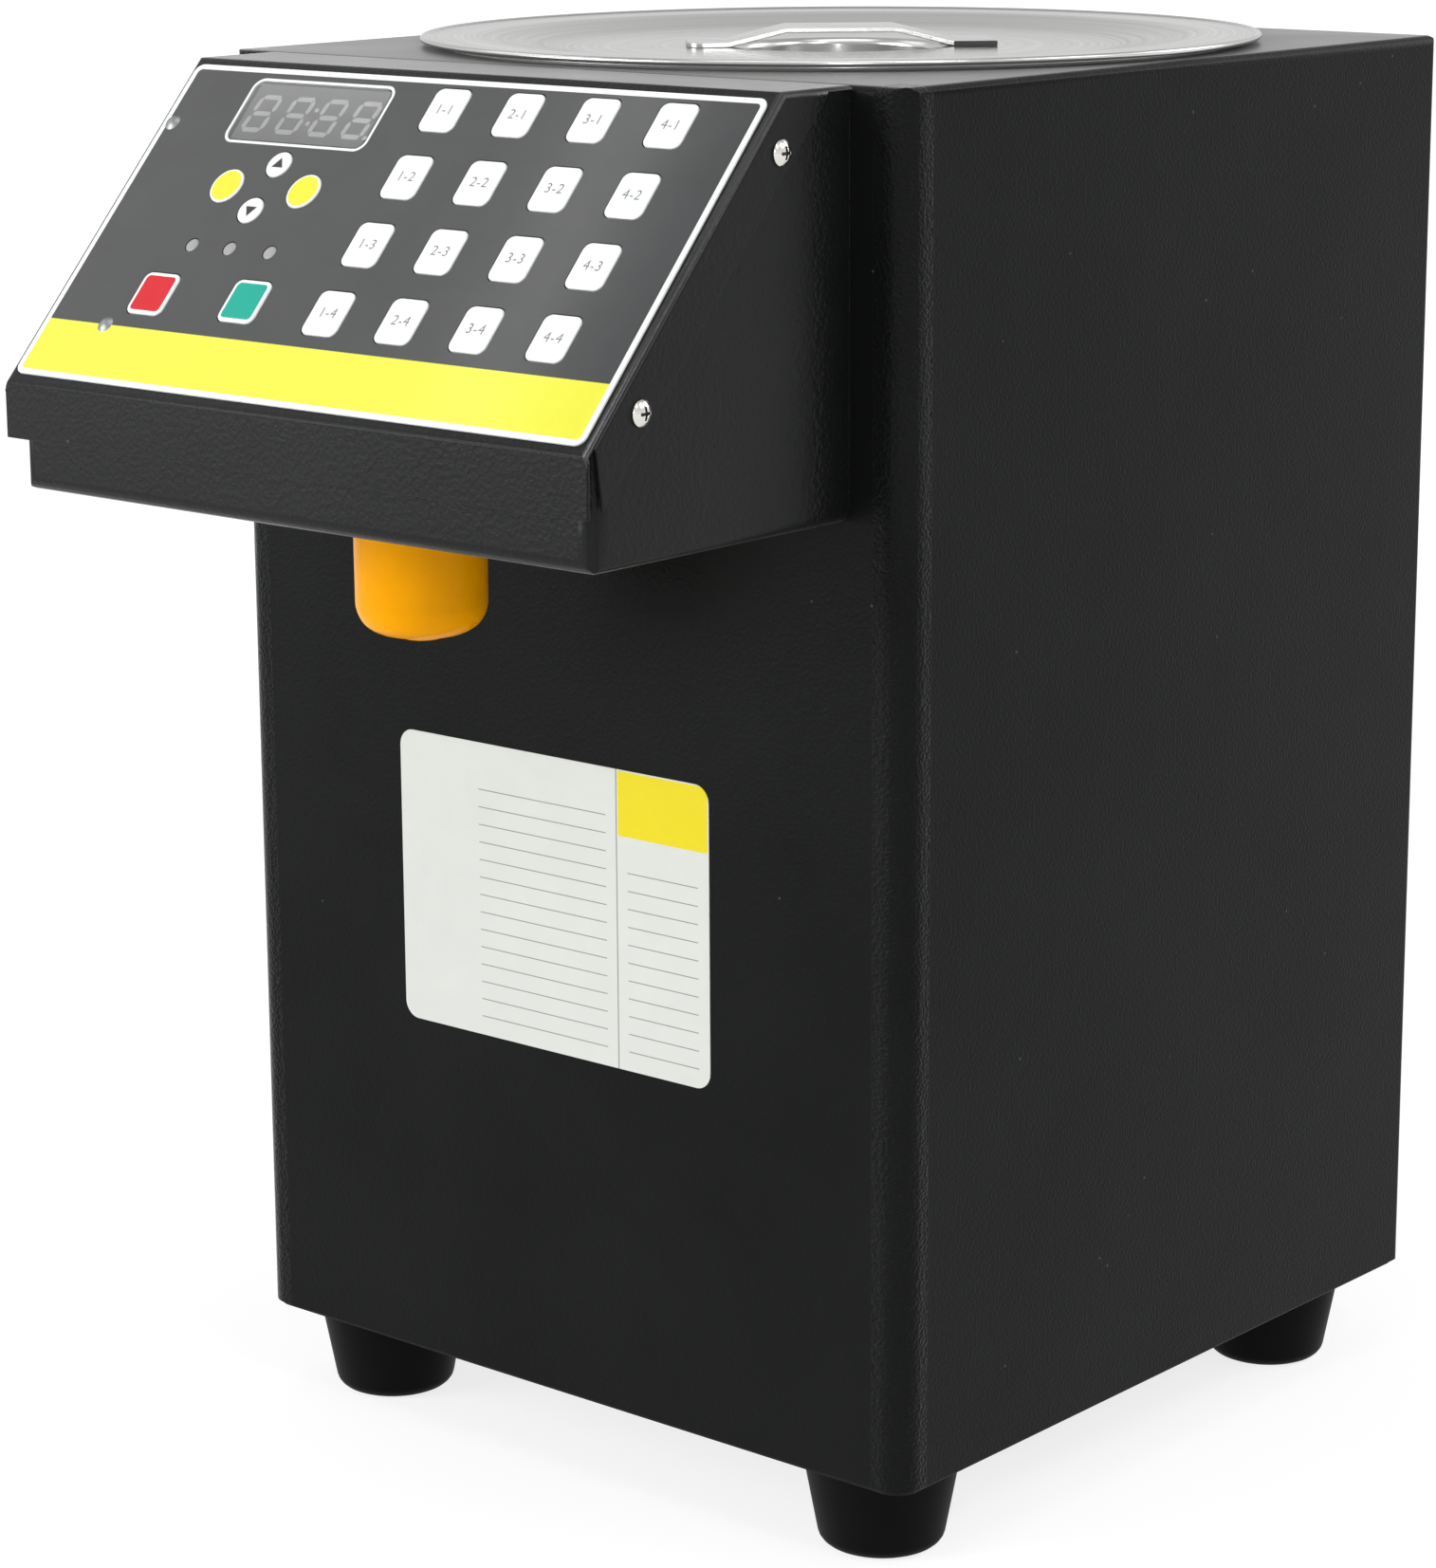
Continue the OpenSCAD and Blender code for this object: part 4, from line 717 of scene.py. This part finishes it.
def buildDisplay():
    bm = bmesh.new()
    tall, wide, stroke = display["digitHeight"], display["digitWidth"], display["stroke"]
    lean, middleV = math.tan(math.radians(display["slant"])), display["digitV"]
    for middle in display["digitMiddles"]:
        digit = bmesh.new()
        for up in (-tall / 2 + stroke / 2, 0.0, tall / 2 - stroke / 2):
            addBar(digit, 0.0, up, wide - stroke * 1.2, stroke, False)
        for across in (-wide / 2 + stroke / 2, wide / 2 - stroke / 2):
            for up in (-tall / 4 + 0.15, tall / 4 - 0.15):
                addBar(digit, across, up, tall / 2 - stroke * 1.15, stroke, True)
        if middle == display["digitMiddles"][-1]:
            addDot(digit, wide / 2 + display["dotOut"], -tall / 2 + display["dot"])
        slanted = Matrix(((1, lean, 0, middle), (0, 1, 0, middleV), (0, 0, 1, 0), (0, 0, 0, 1)))
        bmesh.ops.transform(digit, matrix=slanted, verts=digit.verts)
        addShape(bm, digit)
    for up in (-display["colonSpread"], display["colonSpread"]):
        addDot(bm, display["colonU"] + up * lean, middleV + up)
    for face in bm.faces:
        if face.normal.z < 0:
            face.normal_flip()
    raiseFaces(bm, display["raised"])
    placeOnSlope(bm)
    finishPiece("displaySegments", bm, [digitPale], "machine")
    bm, _ = roundedPlate(*display["plate"], display["plateCorner"], display["plateFoot"], display["plateTop"])
    placeOnSlope(bm, *display["middle"])
    finishPiece("displayWindow", bm, [smokedWindow], "machine", ["display_window"])
    paintNodes(digitBack, "display_module")
    print("display built")


lamps = {"spots": ((-66.1, 49.2), (-51.4, 49.2), (-35.9, 49.2)), "radius": 2.2, "foot": -2.0, "rim": 0.35,
         "shoulder": 0.67, "top": 0.75}


def buildPanel():
    finishPiece("overlayPlate", copyNode("panel_overlay"), [overlayFilm], "machine", ["panel_overlay"])
    finishPiece("panelStuds", copyNode("panel_studs"), [studSteel], "machine", ["panel_studs"])
    bm = bmesh.new()
    r, foot = lamps["radius"], lamps["foot"]
    profile = [(0, foot, 0), (r, foot, 0.15), (r, lamps["rim"], 0.3), (r * 0.6, lamps["shoulder"], 0.5),
               (0, lamps["top"], 0)]
    for spot in lamps["spots"]:
        addShape(bm, spunShape(profile, (*spot, 0), steps=40))
    placeOnSlope(bm)
    finishPiece("statusLamps", bm, [lampGrey], "machine", ["indicator_lamps"], smooth=60.0)
    buildKeys()
    buildDisplay()
    print("panel built")


buildPanel()

# lid and strap, tank and its seal; the slot is a dark box, a painted shadow where shade shows before the
# strap's right foot
lidShape = {"centre": (0.0, 48.55), "rim": 122.6, "under": 411.9, "sheet": 0.8, "bead": 0.9, "neck": 1.2,
            "flat": 106.0, "floor": 80.0, "dish": 3.4, "well": 30.0, "wellDepth": 9.0, "strapEdge": 0.35}
shadowStripShape = {"along": (32.6, 45.2), "before": 12.02, "deep": 0.5, "foot": 409.32, "high": 1.5, "edge": 0.12,
             "turn": 42.0}
sealShape = {"inner": 110.0, "outer": 116.0, "low": 410.0, "high": 410.8}


def buildLidPan():
    s, low, t = lidShape, lidShape["under"], lidShape["sheet"]
    floor = low - s["dish"]
    well = floor - s["wellDepth"]
    beadMiddle, beadOut = low + t / 2, s["rim"] - s["bead"]
    bead = []
    for turn in range(0, 181, 15):
        a = math.radians(turn)
        bead.append((beadOut + s["bead"] * math.sin(a), beadMiddle - s["bead"] * math.cos(a), 0))
    underside = [(0, well, 0), (s["well"] + t, well, 3.5), (s["well"] + t, floor, 1.4),
                 (s["floor"], floor, 1.5), (s["flat"], low, 2.5), (beadOut - s["neck"], low, 0)]
    upside = [(beadOut - s["neck"], low + t, 0), (s["flat"], low + t, 2.5), (s["floor"], floor + t, 1.5),
              (s["well"], floor + t, 2.2), (s["well"], well + t, 3.0), (0, well + t, 0)]
    bm = spunShape(underside + bead + upside, (*s["centre"], 0), steps=160)
    finishPiece("lidPan", bm, [lidSteel], "lid", ["lid_pan"], smooth=45.0)


def buildStrap():
    bm = copyNode("lid_handle")
    softenEdges(bm, lidShape["strapEdge"], segments=3, angle=50.0)
    finishPiece("lidStrap", bm, [strapSteel], "lid", ["lid_handle"], smooth=40.0)
    # a dark box set on the lid as a painted shadow before the strap's right foot
    s = shadowStripShape
    bm = bmesh.new()
    bmesh.ops.create_cube(bm, size=1.0)
    bmesh.ops.scale(bm, vec=(s["along"][1] - s["along"][0], s["deep"], s["high"]), verts=bm.verts)
    softenEdges(bm, s["edge"])
    middle = (sum(s["along"]) / 2, -s["before"] - s["deep"] / 2, s["foot"] + s["high"] / 2)
    turned = Matrix.Rotation(math.radians(s["turn"]), 4, "Z") @ Matrix.Translation(middle)
    place = Matrix.Translation((*lidShape["centre"], 0)) @ turned
    bmesh.ops.transform(bm, matrix=place, verts=bm.verts)
    finishPiece("strapShadowStrip", bm, [ringRubber], "lid")


def buildTank():
    s = sealShape
    finishPiece("syrupTank", copyNode("syrup_tank"), [tankSteel], "machine", ["syrup_tank"],
                smooth=40.0)
    profile = [(s["inner"], s["low"], 0.2), (s["outer"], s["low"], 0.3), (s["outer"], s["high"], 0.3),
               (s["inner"], s["high"], 0.2), (s["inner"], s["low"], 0)]
    bm = spunShape(profile, (*lidShape["centre"], 0), steps=128)
    finishPiece("tankSeal", bm, [gasketSilicone], "machine", ["tank_gasket"])


buildLidPan()
buildStrap()
buildTank()
print("lid and tank built")

# nozzle: the cap with its domed foot; shelf and seat are heights above the foot
nozzleShape = {"centre": (0.0, -130.45), "low": 260.7, "high": 296.0, "radius": 18.1, "outlet": 4.0,
               "neck": 15.15, "cavity": 10.6, "shelf": 6.4, "seat": 20.6}


def buildNozzle():
    s, low, high = nozzleShape, nozzleShape["low"], nozzleShape["high"]
    r, outlet, shelf, seat = s["radius"], s["outlet"], low + s["shelf"], low + s["seat"]
    dome = [(outlet, low, 0.4), (outlet + 1.6, low, 0.4), (outlet + 2.2, low + 0.6, 0.4),
            (r * 0.76, low + 2.0, 3.0), (r - 0.15, low + 6.6, 3.4)]
    mouth = [(r, high, 0.35), (s["neck"], high, 0.3), (s["neck"], seat, 0.3)]
    cavity = [(s["cavity"], seat, 0.3), (s["cavity"], shelf, 0.6), (outlet, shelf, 0)]
    bm = spunShape([(outlet, shelf, 0.3)] + dome + mouth + cavity, (*s["centre"], 0), steps=128)
    finishPiece("nozzleCap", bm, [nozzleOrange], "cap", ["nozzle_cap"], smooth=50.0)
    paintNodes(seatOrange, "nozzle_seat")
    print("nozzle built")


buildNozzle()

# feet, bored from below for their screws
footShape = {"high": 26.8, "top": 22.5, "low": 17.5, "round": 3.6, "bore": 6.5, "boreDeep": 10.0,
             "screw": 2.7, "spots": [(x, y) for x in (-96.5, 96.5) for y in (-51.45, 143.55)]}


def buildFeet():
    s = footShape
    screw, deep = s["screw"], s["boreDeep"]
    profile = [(screw, deep, 0.2), (screw, s["high"], 0), (s["top"], s["high"], 0.7),
               (s["low"], 0, s["round"]), (s["bore"], 0, 0.6), (s["bore"], deep, 0.3), (screw, deep, 0)]
    bm = bmesh.new()
    for spot in s["spots"]:
        addShape(bm, spunShape(profile, (*spot, 0), steps=72))
    finishPiece("rubberFeet", bm, [footRubber], "machine", ["feet"], smooth=40.0)
    print("feet built")


buildFeet()

# front plate with a plain block, a divider and blank ruled rows; x and z ranges in millimetres
frontPlate = {
    "x": (-61.0, 57.0), "z": (131.0, 218.0), "corner": 5.0, "thick": 0.25, "face": -78.45, "sunk": 0.02,
    "edge": 0.08, "divider": (22.8, 23.25), "blockX": (23.6, 56.6), "blockZ": (199.0, 217.6),
    "leftRows": ((-30.0, 19.0), (136.0, 206.0)), "rightRows": ((27.0, 53.0), (136.0, 193.0)),
    "ruleStart": 136.5, "rulePitch": 5.2, "ruleShare": 0.06,
    "paper": (0.68, 0.70, 0.66, 1.0), "yellow": (0.78, 0.65, 0.0, 1.0), "ink": (0.28, 0.29, 0.28, 1.0),
}


def makePlatePrint():
    s = frontPlate
    made, tree, shader = newMaterial("platePrint", {"Specular IOR Level": 0.3})
    x, _, z = splitVector(tree, objectPoint(tree))

    def between(value, limits):
        above = maths(tree, "GREATER_THAN", value, limits[0] / 1000)
        return times(tree, above, maths(tree, "LESS_THAN", value, limits[1] / 1000))

    skin = useGroup(tree, mouldedSkin, objectPoint(tree), Scale=1500.0)
    paper = blendColour(tree, span(tree, skin["Mottle"], 0.3, 0.7), s["paper"], shade(s["paper"], 0.96))
    block = times(tree, between(x, s["blockX"]), between(z, s["blockZ"]))
    height = maths(tree, "SUBTRACT", z, s["ruleStart"] / 1000)
    step = maths(tree, "FRACT", maths(tree, "DIVIDE", height, s["rulePitch"] / 1000))
    rule = maths(tree, "LESS_THAN", step, s["ruleShare"])
    leftRows, rightRows = (times(tree, between(x, s[side][0]), between(z, s[side][1]))
                           for side in ("leftRows", "rightRows"))
    rows = times(tree, rule, maths(tree, "MAXIMUM", leftRows, rightRows))
    colour = blendColour(tree, block, paper, s["yellow"])
    inked = maths(tree, "MAXIMUM", between(x, s["divider"]), rows)
    tree.links.new(blendColour(tree, inked, colour, s["ink"]), shader.inputs["Base Color"])
    tree.links.new(span(tree, skin["Mottle"], 0.3, 0.7, 0.3, 0.38), shader.inputs["Roughness"])
    bump(tree, shader, skin["Height"], 0.00001)
    return made


def buildFrontPlate():
    s = frontPlate
    width, height = s["x"][1] - s["x"][0], s["z"][1] - s["z"][0]
    bm, top = roundedPlate(width, height, s["corner"], 0.0, s["thick"], segments=8)
    bevelParts(bm, list(top.edges), s["edge"], 2)
    middle = Matrix.Translation((sum(s["x"]) / 2, s["face"] - s["sunk"], sum(s["z"]) / 2))
    bmesh.ops.transform(bm, matrix=middle @ Matrix.Rotation(math.radians(90), 4, "X"), verts=bm.verts)
    finishPiece("frontPlate", bm, [makePlatePrint()], "machine")
    print("front plate built")


buildFrontPlate()

# power inlet and its rocker
inletShape = {"edge": 0.3, "rockerEdge": 0.25}


def buildInlet():
    for node, name, material, body, slotName, edge in (
            ("power_inlet", "inletSocket", inletBlack, "machine", "inlet_black", inletShape["edge"]),
            ("power_rocker", "inletRocker", rockerBlack, "rocker", "rocker_black", inletShape["rockerEdge"])):
        bm = copyNode(node)
        softenEdges(bm, edge, angle=50.0)
        finishPiece(name, bm, [material], body, [node])
    print("power inlet built")


buildInlet()

# pieces that keep their frame shape
for material, names in (
        (boardGreen, ("control_board",)), (switchBlack, ("tact_switches",)), (heaterMat, ("heater_band",)),
        (zincSteel, ("temperature_probe", "pump_bracket")), (hoseSilicone, ("suction_hose", "delivery_hose")),
        (pumpGrey, ("pump_housing",)), (aluminium, ("pump_cover", "power_supply")),
        (acetal, ("drive_gear", "driven_gear", "valve_plunger")), (motorPaint, ("pump_motor",)),
        (ringRubber, ("nozzle_o_ring",)), (springSteel, ("valve_spring",))):
    paintNodes(material, *names)
print("inner pieces finished")

# camera, fitted to the casing's edges in the photograph
cameraFit = {"centre": (0.81490, -0.95761, 0.49548), "azimuth": 40.64, "elevation": 13.41, "roll": -0.35,
             "lens": 100.3}


def placeCamera():
    a, e, r = (math.radians(cameraFit[k]) for k in ("azimuth", "elevation", "roll"))
    back = Vector((math.sin(a) * math.cos(e), -math.cos(a) * math.cos(e), math.sin(e)))
    right = Vector((math.cos(a), math.sin(a), 0.0))
    up = back.cross(right)
    turnedRight = right * math.cos(r) + up * math.sin(r)
    turnedUp = up * math.cos(r) - right * math.sin(r)
    data = bpy.data.cameras.new("photoCamera")
    data.lens, data.sensor_width = cameraFit["lens"], 36.0
    camera = bpy.data.objects.new("photoCamera", data)
    scene.collection.objects.link(camera)
    facing = Matrix((turnedRight, turnedUp, back)).transposed().to_4x4()
    camera.matrix_world = Matrix.Translation(cameraFit["centre"]) @ facing
    scene.camera = camera
    print("camera placed")


placeCamera()

# floor, lamps and the white room
studio = {
    "floorSize": 12.0, "floorWhite": 0.86, "floorSeen": 0.3, "floorGlow": 0.8, "glowReach": (0.7, 3.0),
    "ambient": 0.5, "overhead": 0.55, "overheadRise": (0.12, 0.9),
    "lamps": [  # name, place, aimed at, size, turned about its own axis, power
        ("keyLamp", (-1.3, -2.6, 1.4), (0.0, -0.05, 0.27), (1.5, 1.5), 0.0, 39.0),
        ("lowLamp", (-1.7, -2.1, 0.5), (0.0, -0.13, 0.27), (1.0, 0.8), 0.0, 12.0),
        ("cornerLamp", (1.75, -2.0, 0.9), (0.1, -0.07, 0.3), (0.12, 0.9), 0.0, 8.0),
        ("panelLamp", (-2.10, -0.54, 1.91), (0.0, -0.145, 0.368), (1.0, 1.6), 45.2, 4.2),
        ("streakLamp", (-1.62, -0.603, 2.157), (0.0, -0.145, 0.368), (0.05, 1.2), 45.2, 0.8),
        ("bendLamp", (1.79, -0.73, 1.97), (0.107, -0.13, 0.37), (0.3, 0.6), 0.0, 8.0),
        ("rearLamp", (1.4, 2.7, 1.7), (0.0, 0.1, 0.2), (1.6, 1.6), 0.0, 20.0),
        ("sideLamp", (2.4, 0.9, 2.3), (0.1, 0.0, 0.25), (1.2, 1.4), 0.0, 15.0),
        ("topLamp", (0.2, -0.4, 2.8), (0.0, 0.0, 0.3), (1.8, 1.8), 0.0, 16.0),
    ],
}


def seenDirectly(tree):
    # 1 for the camera's own rays and for reflections of them
    path = addNode(tree, "LightPath").outputs
    mirrored = maths(tree, "MAXIMUM", path["Is Glossy Ray"], path["Is Transmission Ray"])
    return maths(tree, "MAXIMUM", path["Is Camera Ray"], mirrored)


def makeFloorPaper():
    # the paper bounces light as it is; to the camera and in reflections it is white, with the object's shadow
    s = studio
    made, tree, shader = newMaterial(
        "floorPaper", {"Roughness": 0.9, "Specular IOR Level": 0.1, "Base Color": grey(s["floorWhite"])})
    away = addNode(tree, "VectorMath", {0: objectPoint(tree)}, operation="LENGTH").outputs["Value"]
    strength = span(tree, away, *s["glowReach"], s["floorGlow"], 1.0)
    glow = addNode(tree, "Emission", {"Color": grey(1.0), "Strength": strength})
    shadowed = addNode(tree, "BsdfDiffuse", {"Color": grey(s["floorSeen"])})
    shown = addNode(tree, "AddShader", {0: glow.outputs[0], 1: shadowed.outputs[0]})
    mixed = addNode(tree, "MixShader", {0: seenDirectly(tree), 1: shader.outputs[0], 2: shown.outputs[0]})
    tree.links.new(mixed.outputs[0], tree.nodes["Material Output"].inputs["Surface"])
    return made


def buildFloor():
    bm = bmesh.new()
    bmesh.ops.create_grid(bm, x_segments=8, y_segments=8, size=studio["floorSize"] / 2)
    mesh = bpy.data.meshes.new("studioFloor")
    bm.to_mesh(mesh)
    bm.free()
    floor = bpy.data.objects.new("studioFloor", mesh)
    scene.collection.objects.link(floor)
    mesh.materials.append(makeFloorPaper())


def placeLamps():
    for name, place, aim, size, turn, power in studio["lamps"]:
        data = bpy.data.lights.new(name, "AREA")
        data.shape, data.size, data.size_y, data.energy = "RECTANGLE", size[0], size[1], power
        lamp = bpy.data.objects.new(name, data)
        lamp.location = place
        aimed = (Vector(aim) - Vector(place)).to_track_quat("-Z", "Y").to_matrix()
        lamp.rotation_euler = (aimed @ Matrix.Rotation(math.radians(turn), 3, "Z")).to_euler()
        scene.collection.objects.link(lamp)


def buildRoom():
    # the room is white round the horizon and pale grey overhead
    world = bpy.data.worlds.new("studioRoom")
    world.use_nodes = True
    scene.world = world
    tree = world.node_tree
    background = tree.nodes["Background"]
    height = splitVector(tree, addNode(tree, "TexCoord").outputs["Generated"])[2]
    overhead = span(tree, height, *studio["overheadRise"])
    reflected = blendColour(tree, overhead, grey(1.0), grey(studio["overhead"]))
    straight = addNode(tree, "LightPath").outputs["Is Camera Ray"]
    tree.links.new(blendColour(tree, straight, reflected, grey(1.0)), background.inputs["Color"])
    strength = span(tree, seenDirectly(tree), 0.0, 1.0, studio["ambient"], 1.0)
    tree.links.new(strength, background.inputs["Strength"])


buildFloor()
placeLamps()
buildRoom()
scene.view_settings.view_transform = "Standard"
print("studio lit")
